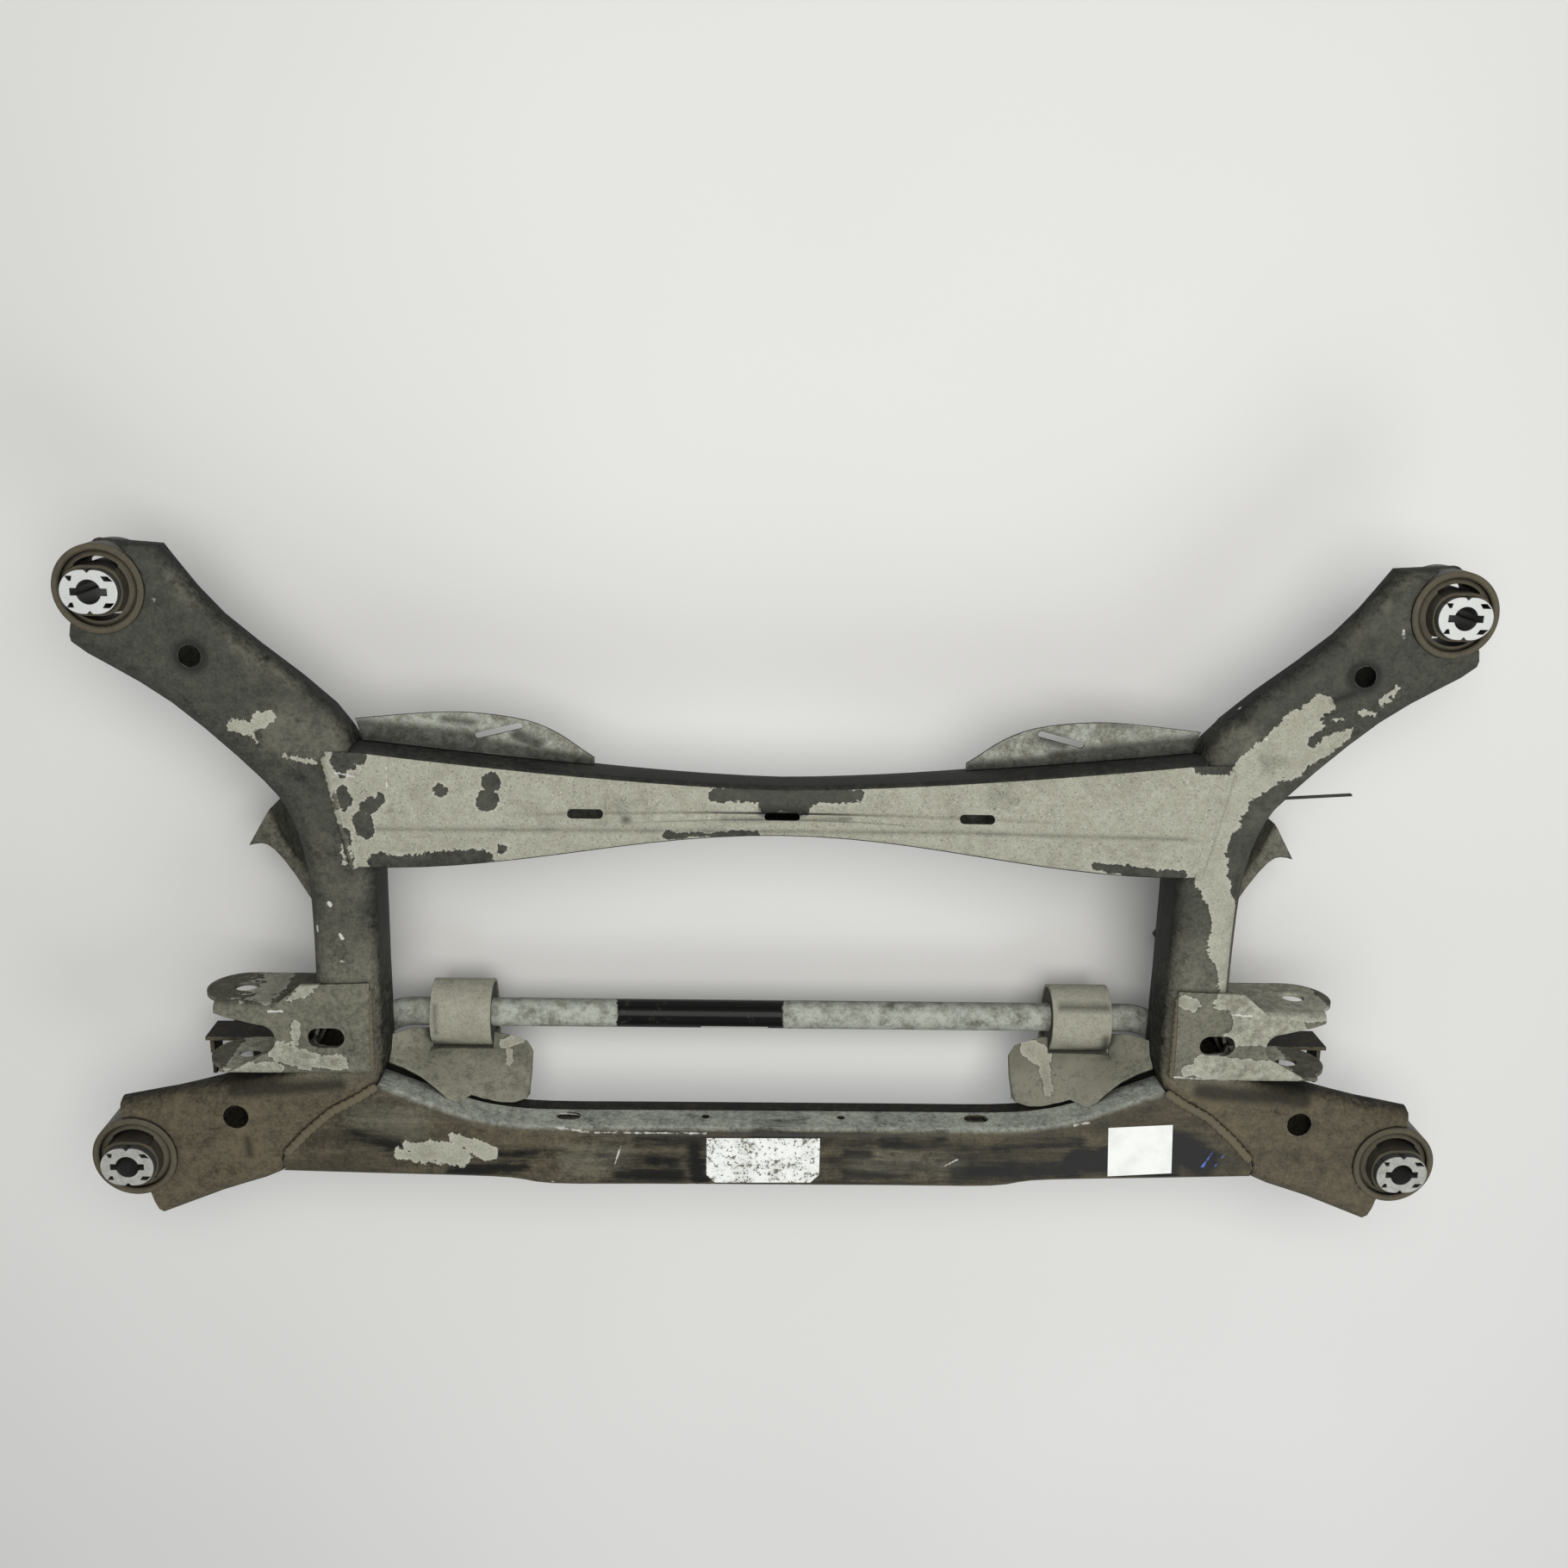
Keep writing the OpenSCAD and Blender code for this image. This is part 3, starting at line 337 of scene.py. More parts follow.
class Finish:
    """A material built from nodes on Object coordinates, with noise scales per metre."""

    def __init__(self, name):
        self.material = bpy.data.materials.new(name)
        self.material.use_nodes = True
        self.tree = self.material.node_tree
        self.shader = self.tree.nodes["Principled BSDF"]
        self.place = self.node("ShaderNodeTexCoord", out="Object")
        split = self.node("ShaderNodeSeparateXYZ", None, {0: self.place}).socket.node
        self.x, self.y, self.z = (Field(self, s) for s in split.outputs)
        self.plan = self.vector("MULTIPLY", self.place, (1.0, 1.0, 0.0))
        self.normal = self.node("ShaderNodeNewGeometry", out="Normal")
        faced = self.node("ShaderNodeSeparateXYZ", None, {0: self.normal}).socket.node
        self.ahead = Field(self, faced.outputs[1])
        self.up = Field(self, faced.outputs[2])

    def node(self, kind, settings=None, sockets=None, out=0):
        """Any other node: its settings first, then the values or links of its sockets."""
        made = self.tree.nodes.new(kind)
        for key, value in (settings or {}).items():
            setattr(made, key, value)
        for key, value in (sockets or {}).items():
            if isinstance(value, Field):
                self.tree.links.new(value.socket, made.inputs[key])
            else:
                made.inputs[key].default_value = value
        return Field(self, made.outputs[out])

    def vector(self, operation, first, second, out=0):
        """Vector Math on two vectors; its output 1 is a single value."""
        return self.node(
            "ShaderNodeVectorMath", {"operation": operation}, {0: first, 1: second}, out)

    def noise(self, scale, detail=4.0, rough=0.55, stretch=None, twist=0.0):
        """Cloudy noise around 0.5, finer along the axes where stretch is above 1."""
        place = self.place
        if stretch:
            place = self.node("ShaderNodeMapping", None, {"Vector": place, "Scale": stretch})
        return self.node("ShaderNodeTexNoise", None, {
            "Vector": place, "Scale": scale, "Detail": detail, "Roughness": rough,
            "Distortion": twist})

    def cells(self, scale):
        """Distance to the nearest point of a scatter."""
        return self.node("ShaderNodeTexVoronoi", None, {"Vector": self.place, "Scale": scale})

    def mix(self, share, first, second):
        """Colour between two colours."""
        return self.node(
            "ShaderNodeMix", {"data_type": "RGBA"}, {0: share, 6: first, 7: second}, out=2)

    def stroke(self, x0, y0, x1, y1, radius):
        """Metres inside the rim of a stroke drawn from above in millimetres, below 0 outside it."""
        start = spot(x0, y0)
        run = (spot(x1, y1) - start).to_2d()
        place = self.vector("SUBTRACT", self.plan, (start.x, start.y, 0.0))
        nearest = (0.0, 0.0, 0.0)
        if run.length:
            slope = run / run.length_squared
            share = self.vector("DOT_PRODUCT", place, (*slope, 0.0), out=1)
            share = self.node("ShaderNodeClamp", None, {0: share})
            nearest = self.node(
                "ShaderNodeVectorMath", {"operation": "SCALE"}, {0: (*run, 0.0), "Scale": share})
        return radius * MM - self.vector("DISTANCE", place, nearest, out=1)

    def gather(self, strokes, start=None):
        """Value that is above 0 inside any of the strokes."""
        field = start
        for values in strokes:
            mark = self.stroke(*values)
            field = mark if field is None else mark.most(field)
        return field

    def set(self, **values):
        """Sets sockets of the shader by their names, with underscores for spaces."""
        for key, value in values.items():
            socket = self.shader.inputs[key.replace("_", " ")]
            if isinstance(value, Field):
                self.tree.links.new(value.socket, socket)
            else:
                socket.default_value = value

    def rounded(self, radius):
        """Normals over rounded edges, and how near a place is to such an edge."""
        normal = self.node("ShaderNodeBevel", {"samples": 4}, {"Radius": radius})
        return normal, 1.0 - self.vector("DOT_PRODUCT", normal, self.normal, out=1)

    def corner(self, distance):
        """How deep a place lies in a corner between pieces, from 0 to 1."""
        return 1.0 - self.node(
            "ShaderNodeAmbientOcclusion", {"samples": 4}, {"Distance": distance}, out="AO")

    def relief(self, height, distance, normal):
        """Bump from a height of 0 to 1, over rounded edges."""
        self.set(Normal=self.node("ShaderNodeBump", None, {
            "Strength": 1.0, "Distance": distance, "Height": height, "Normal": normal}))


class Coating(Finish):
    """Black coating with dust and dried mud, from clouds of 90 mm down to grain of 2 mm."""

    def __init__(self, name, ragged):
        super().__init__(name)
        self.colours = bpy.context.scene.subframe_colours
        self.sizes = bpy.context.scene.subframe_sizes
        self.clouds = self.noise(11.0, detail=5.0, rough=0.6)
        self.flakes = self.noise(46.0, detail=6.0, rough=0.68, twist=0.6)
        self.crumbs = self.noise(170.0, detail=4.0, rough=0.7)
        self.grain = self.noise(420.0, detail=3.0, rough=0.6)
        self.fray = ((self.flakes - 0.5) * 2.2 + (self.clouds - 0.5) * 1.2
                     + (self.crumbs - 0.5) * 1.8) * (ragged * MM)
        self.smooth, self.rim_wear = self.rounded(self.sizes.edge_radius)

    def dust_share(self, film, shed_and_shade, streaked, bare):
        """Share of the coating under dust, which level faces hold and walls shed, darkening walls
        as painted shade.
        """
        # Walls and bends hold less dust, which also paints shade on them
        held_and_shaded = 1.0 - shed_and_shade + self.up.step(-0.1, 0.9) * shed_and_shade
        share = film * held_and_shaded * (0.62 + self.clouds * 0.76)
        scuffs = self.noise(27.0, detail=6.0, rough=0.72, stretch=(1.0, 1.6, 1.0)).step(0.55, 0.7)
        share = (share - scuffs * 0.3 + (self.flakes - 0.5) + (self.crumbs - 0.5) * 1.3
                 + (self.grain - 0.5))
        if streaked:
            runs = self.noise(7.0, detail=6.0, rough=0.72, stretch=(1.0, 8.0, 8.0)).step(0.4, 0.62)
            ends = (self.x * self.x).step(0.02, 0.07)
            level = self.up.step(0.6, 0.9)
            left = runs * (0.75 - ends * 0.3) + 0.2 + ends * 0.35
            share = share * self.mix(level, WHITE, left)
        if bare:
            lines = self.noise(9.0, detail=6.0, rough=0.75, stretch=(1.1, 9.0, 9.0))
            wiped = self.gather(bare) + self.fray * 0.8 + (lines - 0.5) * 0.03
            share = share * (1.0 - wiped.step(-WIPE_AND_SHADE_RIM, WIPE_AND_SHADE_RIM) * 0.95)
        return share

    def dust_colour(self, tint, graded, walls):
        """Colour of the dust: one tint, or graded from front to rear, or another on walls."""
        dusty = getattr(self.colours, tint)
        if graded:
            legs = self.y.step(*(spot(0, y).y for y in LEG_FADE))
            legs = legs.most(self.noise(8.0, detail=4.0, rough=0.6).step(0.5, 0.72) * 0.55)
            back = self.y.step(*(spot(0, y).y for y in REAR_FADE))
            dusty = self.mix(legs, self.colours.film, self.colours.leg_dust)
            dusty = self.mix(back, dusty, self.colours.dust)
        if walls:
            wall = self.up.step(0.9, 0.3) * self.ahead.step(-0.2, 0.3)
            dusty = self.mix(wall, dusty, getattr(self.colours, walls))
        return dusty

    def mud_edge(self, covered, mud, cuts):
        """Metres inside the frayed rim of the mud, below 0 outside it."""
        field = self.x * 0.0 + (FAR_RIM if covered else -FAR_RIM)
        if mud:
            field = self.gather(mud, field)
        if cuts:
            field = (self.gather(cuts) * -1.0).least(field)
        return field + self.fray

    def crust(self, edge, soil, dusty):
        """Colour of the dried mud: two soils, stains, warm patches, pale specks and a pale rim."""
        colours = self.colours
        damp = (self.clouds * 0.2 + self.flakes * 0.35 + self.crumbs * 0.45).step(0.38, 0.62)
        crust = self.mix(damp, *(getattr(colours, name) for name in soil))
        stains = self.noise(21.0, detail=5.0, rough=0.66).step(0.57, 0.72) * 0.35
        stains = stains + self.noise(600.0, detail=3.0, rough=0.6).step(0.56, 0.66) * 0.5
        crust = self.mix(stains.least(1.0), crust, dusty)
        warm = self.noise(31.0, detail=5.0, rough=0.7).step(0.5, 0.7) * 0.35
        crust = self.mix(warm, crust, colours.leg_dust)
        specks = self.noise(900.0, detail=2.0, rough=0.5).step(0.6, 0.7) * 0.4
        crust = self.mix(specks, crust, colours.chip)
        rim = edge.step(-MUD_RIM, 2 * MUD_RIM) - edge.step(0.001, 0.003)
        return self.mix(rim.most(0.0) * 0.12, crust, colours.chip)

    def stained_and_shaded(self, colour, dried, grime_and_shade):
        """A colour with dark blotches, grime and painted shade strokes, and painted shade in its
        corners.
        """
        coat = self.colours.coat
        blotches = self.noise(17.0, detail=6.0, rough=0.7).step(0.55, 0.72) * (0.42 - dried * 0.27)
        colour = self.mix(blotches, colour, coat)
        if grime_and_shade:
            # Grime strokes, some of them painted shade in dishes, under brackets and below a bead
            grime_and_shade_mask = (self.gather(grime_and_shade) + self.fray * 0.6).step(-WIPE_AND_SHADE_RIM, WIPE_AND_SHADE_RIM)
            colour = self.mix(grime_and_shade_mask * 0.72, colour, coat)
        # Painted shade in corners between pieces, darker towards the coat colour
        return self.mix(self.corner(COAT_SHADE_REACH).step(0.3, 0.85) * 0.7, colour, coat)

    def worn(self, colour, rubbed, scratch, blue):
        """A colour with rubbed edges, chips, scratches, painted highlight lines drawn as scratches,
        and blue marks.
        """
        crumbs = self.crumbs
        edges = self.rim_wear.step(0.04, 0.3) * crumbs.step(0.42, 0.56) * rubbed
        colour = self.mix(edges, colour, self.colours.silt)
        chips = self.cells(34.0).step(0.06, 0.045) * self.noise(15.0, detail=2.0).step(0.6, 0.64)
        if scratch:
            lines = (self.gather(scratch) + (crumbs - 0.5) * 0.004).step(-MUD_RIM, MUD_RIM)
            lines = lines * self.flakes.step(0.38, 0.48)
            chips = chips.most(lines * self.up.step(0.2, 0.5))
        colour = self.mix(chips * 0.7, colour, self.colours.chip)
        if blue:
            mark = (self.gather(blue) + (crumbs - 0.5) * 0.005).step(-0.0003, 0.0005)
            colour = self.mix(mark * crumbs.step(0.36, 0.5) * 0.8, colour, self.colours.blue)
        return colour


def weathered(name, film=0.75, tint="film", covered=False, mud=(), cuts=(), bare=(), smear_and_sheen=(),
              grime_and_shade=(), scratch=(), blue=(), ragged=7.0, flat=0.7, shed_and_shade=0.9, graded=False,
              walls=None, streaked=False, rubbed=0.5, soil=("mud_dark", "mud")):
    """Coating under dust and mud, with its strokes.

    film is the dust's share, shed what walls lose of it, which also paints shade on them, ragged
    the fray of rims in millimetres, flat how level a face is that holds mud, and rubbed the wear of
    edges.
    """
    f = Coating(name, ragged)
    cover = f.dust_share(film, shed_and_shade, streaked, bare)
    dusty = f.dust_colour(tint, graded, walls)
    # Brown smears of dust, and a painted highlight where thin strokes run along bends
    if smear_and_sheen:
        smear_and_sheen_mask = (f.gather(smear_and_sheen) + f.fray * 1.2).step(-SMEAR_RIM, SMEAR_RIM)
        dusty = f.mix(smear_and_sheen_mask * 0.5, dusty, f.colours.leg_dust)
        cover = cover + smear_and_sheen_mask * 0.12
    cover = cover.most(0.0).least(1.0)
    colour = f.mix(cover, f.colours.coat, dusty)
    rough = 0.32 + cover * 0.42 + (f.grain - 0.5) * 0.15

    edge = f.mud_edge(covered, mud, cuts)
    dried = edge.step(-MUD_RIM, MUD_RIM) * f.up.step(flat - WALL_FADE, flat + WALL_FADE)
    colour = f.mix(dried, colour, f.crust(edge, soil, dusty))
    rough = rough * (1.0 - dried) + dried * 0.92

    colour = f.worn(f.stained_and_shaded(colour, dried, grime_and_shade), rubbed, scratch, blue)
    f.set(Base_Color=colour, Roughness=rough + f.up.step(0.75, 0.2) * 0.25,
          Specular_IOR_Level=COAT_SPECULAR)
    height = (dried * 0.7 + dried * (f.grain * 0.3 + f.flakes * 0.5)
              + cover * (f.grain * 0.15 + f.crumbs * 0.15))
    f.relief(height, f.sizes.mud_thickness, f.smooth)
    return f.material


def plain_dusty(name, base, film, rough, metallic=0.0, tint="dust", scratch=0.0, height=0.0004,
                shade_below=None):
    """Bare or moulded material with dust and fine scratches, with painted shade below a given
    height, else painted shade in its corners.
    """
    colours = bpy.context.scene.subframe_colours
    sizes = bpy.context.scene.subframe_sizes
    f = Finish(name)
    clouds = f.noise(38.0, detail=5.0, rough=0.62)
    grain = f.noise(520.0, detail=3.0, rough=0.6)
    crumbs = f.noise(190.0, detail=4.0, rough=0.7)
    normal, _ = f.rounded(sizes.edge_radius * 0.7)
    cover = (f.up.step(-0.2, 0.9) * 0.7 + 0.3) * film * (0.5 + clouds)
    specks = ((grain - 0.5) * 0.4 + (crumbs - 0.5) * 0.6) * min(1.0, film * 1.6)
    cover = (cover + specks).most(0.0).least(1.0)
    lines = f.noise(60.0, detail=3.0, rough=0.6, stretch=(1.0, 14.0, 1.0))
    lines = lines.step(0.55, 0.72) * scratch
    scored = f.mix(lines, base, tuple(c * 0.6 for c in base[:3]) + (1.0,))
    colour = f.mix(cover, scored, getattr(colours, tint))
    bright = metallic * (1.0 - cover)
    if shade_below:
        # Painted shade inside the core below its cut face
        inner_shade = f.z.step(shade_below, shade_below - INNER_FADE)
        colour = f.mix(inner_shade * 0.93, colour, colours.coat)
        bright = bright * (1.0 - inner_shade)
    else:
        # Painted shade in corners between pieces
        colour = f.mix(f.corner(BARE_SHADE_REACH).step(0.35, 0.9) * 0.6, colour, colours.coat)
    f.set(Base_Color=colour, Roughness=rough + cover * (0.9 - rough) + lines * 0.15,
          Metallic=bright, Specular_IOR_Level=BARE_SPECULAR)
    f.relief(grain * 0.6 + lines * 0.4 + clouds * 0.4, height, normal)
    return f.material


def bar_finish():
    """Grey silt on the stabiliser bar, with a clean stretch and a pale stripe low on its back."""
    colours = bpy.context.scene.subframe_colours
    sizes = bpy.context.scene.subframe_sizes
    f = Finish("stabiliser_coat_dusty")
    clouds = f.noise(24.0, detail=5.0, rough=0.65)
    blots = f.noise(85.0, detail=6.0, rough=0.72)
    grain = f.noise(480.0, detail=3.0, rough=0.6)
    fray = (blots - 0.5) * 0.012
    start, end = (spot(x, 0).x for x in CLEAN_X)
    inside = (f.x + fray - start).step(-0.0006, 0.0006) * (end - f.x + fray).step(-0.0008, 0.0008)
    patchy = (clouds * 0.5 + blots * 0.5).step(0.56, 0.62)
    patchy = patchy * (0.05 + f.x.step(spot(-50, 0).x, spot(5, 0).x) * 0.5)
    rest = 0.86 + (clouds - 0.5) * 0.5 + (blots - 0.5) * 0.8 + (grain - 0.5) * 0.6
    rest = rest * (0.45 + f.up.step(-0.4, 0.8) * 0.55)
    dust = (rest * (1.0 - inside) + inside * patchy).most(0.0).least(1.0)
    film = f.mix(blots.step(0.25, 0.6), colours.leg_dust, colours.silt)
    colour = f.mix(dust, colours.coat, film)
    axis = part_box("stabiliser_bar")[1].y - BAR_RADIUS
    low, high = (spot(x, 0).x for x in STRIPE_X)
    stripe = (f.x - low).step(-MUD_RIM, MUD_RIM) * (high - f.x).step(-MUD_RIM, MUD_RIM)
    stripe = stripe * ((axis - STRIPE_BACK) - f.y).step(-0.0003, 0.0003) * f.up.step(0.1, 0.16)
    colour = f.mix(stripe * (0.75 + grain * 0.25), colour, colours.chip)
    dust = dust.most(stripe * 0.7)
    f.set(Base_Color=colour, Roughness=0.16 + dust * 0.7, Specular_IOR_Level=BAR_SPECULAR)
    f.relief(dust * (grain * 0.6 + blots * 0.4), 0.0004, f.rounded(sizes.edge_radius)[0])
    return f.material


def paper_finish(name, wear, stain):
    """Blank label stock: rubbed through in specks and stained in blots."""
    colours = bpy.context.scene.subframe_colours
    f = Finish(name)
    specks = f.noise(260.0, detail=6.0, rough=0.75)
    blots = f.noise(60.0, detail=4.0, rough=0.6)
    scrawl = f.noise(330.0, detail=5.0, rough=0.7, twist=1.5)
    gone = (specks * 0.5 + scrawl * 0.35 + blots * 0.15).step(0.53, 0.56) * wear
    gone = gone.least(1.0)
    grey = f.mix(blots.step(0.4, 0.7) * stain, colours.paper, colours.silt)
    f.set(Base_Color=f.mix(gone, grey, colours.dust), Roughness=0.45 + gone * 0.4)
    f.relief(1.0 - gone, 0.0002, f.rounded(0.0003)[0])
    return f.material


def only(piece):
    """Selects one piece and nothing else."""
    if bpy.context.object and bpy.context.object.mode != "OBJECT":
        bpy.ops.object.mode_set(mode="OBJECT")
    bpy.ops.object.select_all(action="DESELECT")
    piece.select_set(True)
    bpy.context.view_layer.objects.active = piece


def dress(piece, material):
    """Gives a piece one material all over."""
    piece.data.materials.clear()
    piece.data.materials.append(material)


def finish_node(node, material):
    """Gives a CAD node a better material in each of its slots."""
    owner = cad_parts[node]
    if not owner.material_slots:
        owner.data.materials.append(material)
    for slot in owner.material_slots:
        slot.material = material


def smooth_pressing(node, material):
    """Replaces a pressed node by a copy with joined triangles and smooth bends."""
    piece = bpy.data.objects.new(f"{node}_pressing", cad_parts[node].data.copy())
    bpy.context.scene.collection.objects.link(piece)
    only(piece)
    bpy.ops.mesh.customdata_custom_splitnormals_clear()
    bpy.ops.object.mode_set(mode="EDIT")
    bpy.ops.mesh.select_all(action="SELECT")
    bpy.ops.mesh.remove_doubles(threshold=MERGE_DISTANCE)
    bpy.ops.object.mode_set(mode="OBJECT")
    bpy.ops.object.shade_smooth_by_angle(angle=SMOOTH_ANGLE)
    weighted = piece.modifiers.new("Even bends", "WEIGHTED_NORMAL")
    weighted.keep_sharp = True
    bpy.ops.object.modifier_apply(modifier=weighted.name)
    dress(piece, material)
    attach(piece, "frame")
    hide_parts(node)


class SUBFRAME_OT_side_members(bpy.types.Operator):
    """Smooth the two side members and give them dust, mud and chips"""

    bl_idname = "subframe.side_members"
    bl_label = "Side members"

    def execute(self, context):
        coat = weathered("side_coat_muddy", graded=True, **SIDE_STROKES)
        under = weathered("side_coat_under", film=0.6, graded=True)
        for side, _ in SIDES:
            smooth_pressing(f"side_upper_{side}", coat)
            smooth_pressing(f"side_lower_{side}", under)
        return {"FINISHED"}


class SUBFRAME_OT_crossmembers(bpy.types.Operator):
    """Smooth the crossmembers; mud covers the front one, dust and bare streaks the rear one"""

    bl_idname = "subframe.crossmembers"
    bl_label = "Crossmembers"

    def execute(self, context):
        front = weathered(
            "front_beam_mud", covered=True, flat=0.45, ragged=5.0, rubbed=0.25, **FRONT_STROKES)
        front_low = weathered(
            "front_beam_shelf_mud", covered=True, flat=0.5, ragged=4.0, rubbed=0.1,
            soil=("leg_dust", "silt"), **SHELF_STROKES)
        rear = weathered(
            "rear_beam_coat_streaked", film=0.72, tint="dust", walls="silt", shed_and_shade=0.0, ragged=6.5,
            streaked=True, **REAR_STROKES)
        rear_low = weathered("rear_beam_under", film=0.6, tint="dust")
        smooth_pressing("front_beam_upper", front)
        smooth_pressing("front_beam_lower", front_low)
        smooth_pressing("rear_beam_upper", rear)
        smooth_pressing("rear_beam_lower", rear_low)
        return {"FINISHED"}


class SUBFRAME_OT_brackets(bpy.types.Operator):
    """Smooth the arm and stabiliser brackets and give them mud"""

    bl_idname = "subframe.brackets"
    bl_label = "Brackets"

    def execute(self, context):
        arm = weathered(
            "bracket_coat_muddy", film=0.8, tint="leg_dust", ragged=5.0, flat=-0.4, shed_and_shade=0.3,
            soil=("leg_dust", "mud"), **BRACKET_STROKES)
        horn = weathered("horn_coat_dusty", film=0.7, tint="leg_dust", shed_and_shade=0.4)
        hidden = weathered("bracket_coat_dusty", film=0.7, tint="dust")
        gusset = weathered(
            "gusset_coat_muddy", film=0.95, tint="leg_dust", walls="mud_dark", shed_and_shade=0.0,
            ragged=4.0, flat=0.0, **GUSSET_STROKES)
        for side, _ in SIDES:
            smooth_pressing(f"upper_arm_bracket_{side}", arm)
            smooth_pressing(f"rear_arm_bracket_{side}", hidden)
            smooth_pressing(f"front_horn_{side}", horn)
            smooth_pressing(f"stabiliser_bracket_{side}", gusset)
        return {"FINISHED"}


class SUBFRAME_OT_bushes(bpy.types.Operator):
    """Finish the welded eyes, steel sleeves, rubbers and aluminium cores of the body mounts"""

    bl_idname = "subframe.bushes"
    bl_label = "Body-mount bushes"

    def execute(self, context):
        colours = context.scene.subframe_colours
        eye = plain_dusty("eye_coat_dusty", colours.coat, film=0.6, rough=0.35)
        sleeve = plain_dusty("sleeve_coat_brown", colours.coat, film=0.66, rough=0.4)
        rubber = plain_dusty(
            "bush_rubber_dusty", colours.rubber, film=0.6, rough=0.6, height=0.0006)
        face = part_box("front_right_core")[1].z - CUT_FACE
        bright = plain_dusty(
            "core_bright_cut", colours.aluminium, film=0.08, rough=0.4, metallic=0.3, tint="film",
            scratch=0.25, height=0.0001, shade_below=face)
        dull = plain_dusty(
            "core_dull_cut", colours.aluminium, film=0.6, rough=0.5, metallic=0.3, tint="leg_dust",
            scratch=0.4, height=0.0002, shade_below=face)
        for row, core in (("front", bright), ("rear", dull)):
            for side, _ in SIDES:
                finish_node(f"{row}_{side}_eye", eye)
                finish_node(f"{row}_{side}_sleeve", sleeve)
                finish_node(f"{row}_{side}_rubber", rubber)
                finish_node(f"{row}_{side}_core", core)
        return {"FINISHED"}


class SUBFRAME_OT_stabiliser(bpy.types.Operator):
    """Finish the stabiliser bar, its clamps and their fasteners, and the cut-off harness tie"""

    bl_idname = "subframe.stabiliser"
    bl_label = "Stabiliser bar and clamps"

    def execute(self, context):
        colours = context.scene.subframe_colours
        strap = weathered(
            "strap_mud", tint="leg_dust", covered=True, flat=-0.5, ragged=4.0, **STRAP_STROKES)
        rubber = plain_dusty("clamp_rubber_dusty", colours.rubber, film=0.5, rough=0.6)
        zinc = plain_dusty("zinc_dull", colours.zinc, film=0.45, rough=0.45, metallic=0.8)
        nylon = plain_dusty("tie_nylon", colours.nylon, film=0.15, rough=0.45)
        finish_node("stabiliser_bar", bar_finish())
        for node in ("clamp_bolts", "clamp_nuts"):
            finish_node(node, zinc)
        finish_node("harness_tie", nylon)
        for side, _ in SIDES:
            smooth_pressing(f"clamp_strap_{side}", strap)
            finish_node(f"clamp_bush_{side}", rubber)
        return {"FINISHED"}


def bead_places(runs):
    """Place, turn and size of each weld bead along runs of points in millimetres."""
    pitch = bpy.context.scene.subframe_sizes.weld_pitch
    beads = []
    for run in runs:
        points = [spot(*p) for p in run]
        for start, end in zip(points, points[1:]):
            count = max(2, round((end - start).length / pitch))
            turn = math.atan2(end.y - start.y, end.x - start.x)
            for k in range(count):
                change = math.sin(len(beads) * BEAD_STEP) * BEAD_CHANGE
                beads.append((start.lerp(end, (k + 0.5) / count), turn, 1.0 + change))
    return beads


def weld_row(name, runs, material):
    """Rippled weld beads along runs of points, one joined piece that rides on the frame."""
    width = bpy.context.scene.subframe_sizes.weld_width
    bpy.ops.object.select_all(action="DESELECT")
    bpy.ops.mesh.primitive_ico_sphere_add(subdivisions=2, radius=width / 2)
    bead = bpy.context.object
    bpy.ops.object.mode_set(mode="EDIT")
    bpy.ops.mesh.select_all(action="SELECT")
    bpy.ops.transform.resize(value=BEAD_SHAPE)
    bpy.ops.object.mode_set(mode="OBJECT")
    copies = []
    for place, turn, size in bead_places(runs):
        copy = bpy.data.objects.new(name, bead.data.copy())
        copy.location = place
        copy.rotation_euler = (0.0, 0.0, turn)
        copy.scale = (size, size, size)
        bpy.context.scene.collection.objects.link(copy)
        copies.append(copy)
    bpy.data.objects.remove(bead)
    only(copies[0])
    for copy in copies:
        copy.select_set(True)
    bpy.ops.object.join()
    row = bpy.context.object
    row.name = name
    bpy.ops.object.transform_apply(location=True, rotation=True, scale=True)
    bpy.ops.object.shade_smooth()
    dress(row, material)
    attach(row, "frame")


class SUBFRAME_OT_welds(bpy.types.Operator):
    """Lay weld beads along the seams of the crossmembers and brackets"""

    bl_idname = "subframe.welds"
    bl_label = "Weld seams"

    def execute(self, context):
        colours = context.scene.subframe_colours
        dusty = plain_dusty("weld_bead_dusty", colours.weld, film=0.9, rough=0.5, height=0.0005)
        muddy = weathered(
            "weld_bead_muddy", tint="leg_dust", covered=True, flat=-1.5, **WELD_STROKES)
        for side, sign in SIDES:
            arm, bracket, beam = (
                [(sign * x, y, z) for x, y, z in run]
                for run in (ARM_SEAM, BRACKET_SEAM, BEAM_SEAM))
            weld_row(f"weld_seam_{side}", (arm, bracket), dusty)
            weld_row(f"beam_seam_{side}", (beam,), muddy)
        return {"FINISHED"}


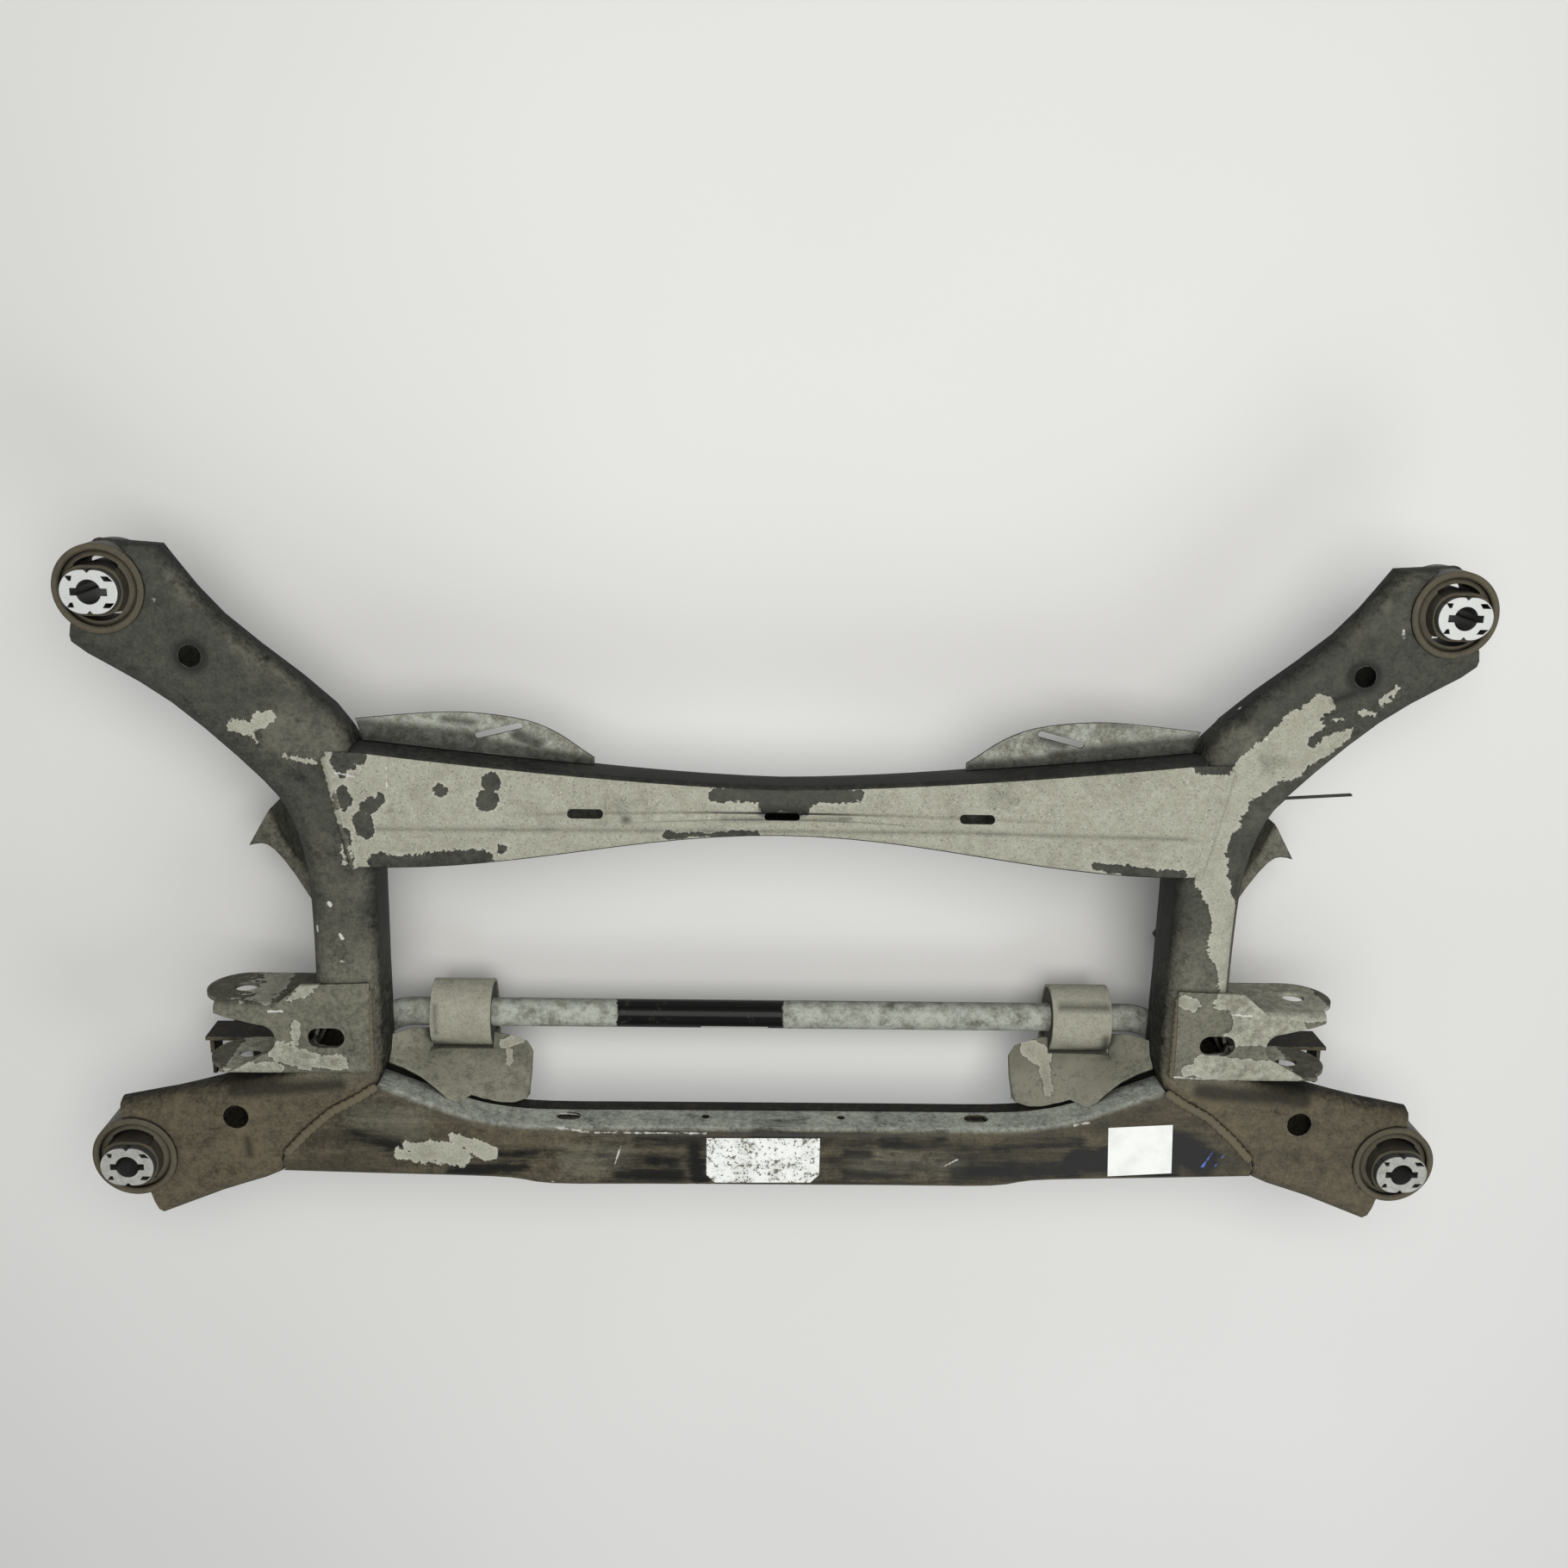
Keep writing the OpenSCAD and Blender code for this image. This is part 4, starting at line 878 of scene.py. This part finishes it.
def label(name, centre, size, turn, cut, material):
    """Thin blank label on the rear crossmember, with two cut corners where cut is above 0."""
    sizes = bpy.context.scene.subframe_sizes
    bpy.ops.object.select_all(action="DESELECT")
    bpy.ops.mesh.primitive_plane_add(size=1.0)
    piece = bpy.context.object
    piece.name = name
    bpy.ops.object.mode_set(mode="EDIT")
    bpy.ops.mesh.select_all(action="SELECT")
    bpy.ops.transform.resize(value=(size[0] * MM, size[1] * MM, 1.0))
    if cut:
        bpy.ops.mesh.select_all(action="DESELECT")
        bpy.ops.object.mode_set(mode="OBJECT")
        for vertex in piece.data.vertices:
            vertex.select = vertex.co.y < 0.0
        bpy.ops.object.mode_set(mode="EDIT")
        bpy.ops.mesh.select_mode(type="VERT")
        bpy.ops.mesh.bevel(offset=cut * MM, affect="VERTICES", segments=1)
    bpy.ops.object.mode_set(mode="OBJECT")
    sheet = piece.modifiers.new("Stock", "SOLIDIFY")
    sheet.thickness = sizes.label_thickness
    sheet.offset = 1.0
    bpy.ops.object.modifier_apply(modifier=sheet.name)
    piece.location = spot(*centre, LABEL_LIFT)
    piece.rotation_euler.z = math.radians(turn)
    bpy.ops.object.transform_apply(location=True, rotation=True, scale=True)
    dress(piece, material)
    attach(piece, "frame")


class SUBFRAME_OT_labels(bpy.types.Operator):
    """Put two blank labels on the rear crossmember"""

    bl_idname = "subframe.labels"
    bl_label = "Blank labels"

    def execute(self, context):
        label("label_worn", centre=(-8.3, -228), size=(91.5, 39.5), turn=0.3, cut=7.0,
              material=paper_finish("label_paper_worn", wear=1.0, stain=0.5))
        label("label_clean", centre=(299, -217), size=(52.6, 43.5), turn=3.4, cut=0.0,
              material=paper_finish("label_paper_clean", wear=0.0, stain=0.25))
        return {"FINISHED"}


class SUBFRAME_OT_stage(bpy.types.Operator):
    """Add the pale floor, the soft lights and the camera"""

    bl_idname = "subframe.stage"
    bl_label = "Stage"

    def execute(self, context):
        scene = context.scene
        colours = scene.subframe_colours
        bpy.ops.object.select_all(action="DESELECT")
        bpy.ops.mesh.primitive_plane_add(size=FLOOR_SIZE, location=(0.0, 0.0, FLOOR_Z))
        floor = context.object
        floor.name = "floor"
        f = Finish("floor_pale")
        shade = f.noise(1.4, detail=2.0).step(0.2, 0.8) * 0.06
        f.set(Base_Color=f.mix(shade, colours.floor, colours.film), Roughness=0.8)
        dress(floor, f.material)

        world = scene.world or bpy.data.worlds.new("Studio")
        scene.world = world
        world.use_nodes = True
        sky = world.node_tree.nodes["Background"]
        sky.inputs["Color"].default_value = SKY_COLOUR
        sky.inputs["Strength"].default_value = SKY_STRENGTH
        for name, place, size, energy, tint in LAMPS:
            lamp = bpy.data.lights.new(name, "AREA")
            lamp.size = size
            lamp.energy = energy
            lamp.color = tint
            holder = bpy.data.objects.new(name, lamp)
            holder.location = place
            holder.rotation_euler = (-Vector(place)).to_track_quat("-Z", "Y").to_euler()
            scene.collection.objects.link(holder)

        camera = bpy.data.cameras.new("camera")
        camera.sensor_width = SENSOR_WIDTH
        camera.lens = scene.subframe_sizes.lens
        viewer = bpy.data.objects.new("camera", camera)
        viewer.location = spot(*CAMERA_PLACE)
        viewer.rotation_euler = [math.radians(a) for a in CAMERA_TURN]
        scene.collection.objects.link(viewer)
        scene.camera = viewer
        scene.view_settings.view_transform = "Standard"
        return {"FINISHED"}


PIECES = (SUBFRAME_OT_side_members, SUBFRAME_OT_crossmembers, SUBFRAME_OT_brackets,
          SUBFRAME_OT_bushes, SUBFRAME_OT_stabiliser, SUBFRAME_OT_welds, SUBFRAME_OT_labels,
          SUBFRAME_OT_stage)


class SUBFRAME_PT_panel(bpy.types.Panel):
    """Lists the steps that dress the subframe, with their sizes and colours"""

    bl_idname = "SUBFRAME_PT_panel"
    bl_label = "Subframe"
    bl_space_type = "VIEW_3D"
    bl_region_type = "UI"
    bl_category = "Subframe"

    def draw(self, context):
        for piece in PIECES:
            self.layout.operator(piece.bl_idname)
        for group in (context.scene.subframe_sizes, context.scene.subframe_colours):
            for name in group.__annotations__:
                self.layout.prop(group, name)


CLASSES = (SubframeColours, SubframeSizes) + PIECES + (SUBFRAME_PT_panel,)


def register():
    """Registers the classes and puts the sizes and colours on the scene."""
    for cls in CLASSES:
        bpy.utils.register_class(cls)
    bpy.types.Scene.subframe_colours = bpy.props.PointerProperty(type=SubframeColours)
    bpy.types.Scene.subframe_sizes = bpy.props.PointerProperty(type=SubframeSizes)


def unregister():
    """Takes back what register did."""
    del bpy.types.Scene.subframe_sizes
    del bpy.types.Scene.subframe_colours
    for cls in reversed(CLASSES):
        bpy.utils.unregister_class(cls)


def main():
    """Dresses the part piece by piece."""
    register()
    bpy.ops.subframe.side_members()
    bpy.ops.subframe.crossmembers()
    bpy.ops.subframe.brackets()
    bpy.ops.subframe.bushes()
    bpy.ops.subframe.stabiliser()
    bpy.ops.subframe.welds()
    bpy.ops.subframe.labels()
    bpy.ops.subframe.stage()


if __name__ == "__main__":
    main()
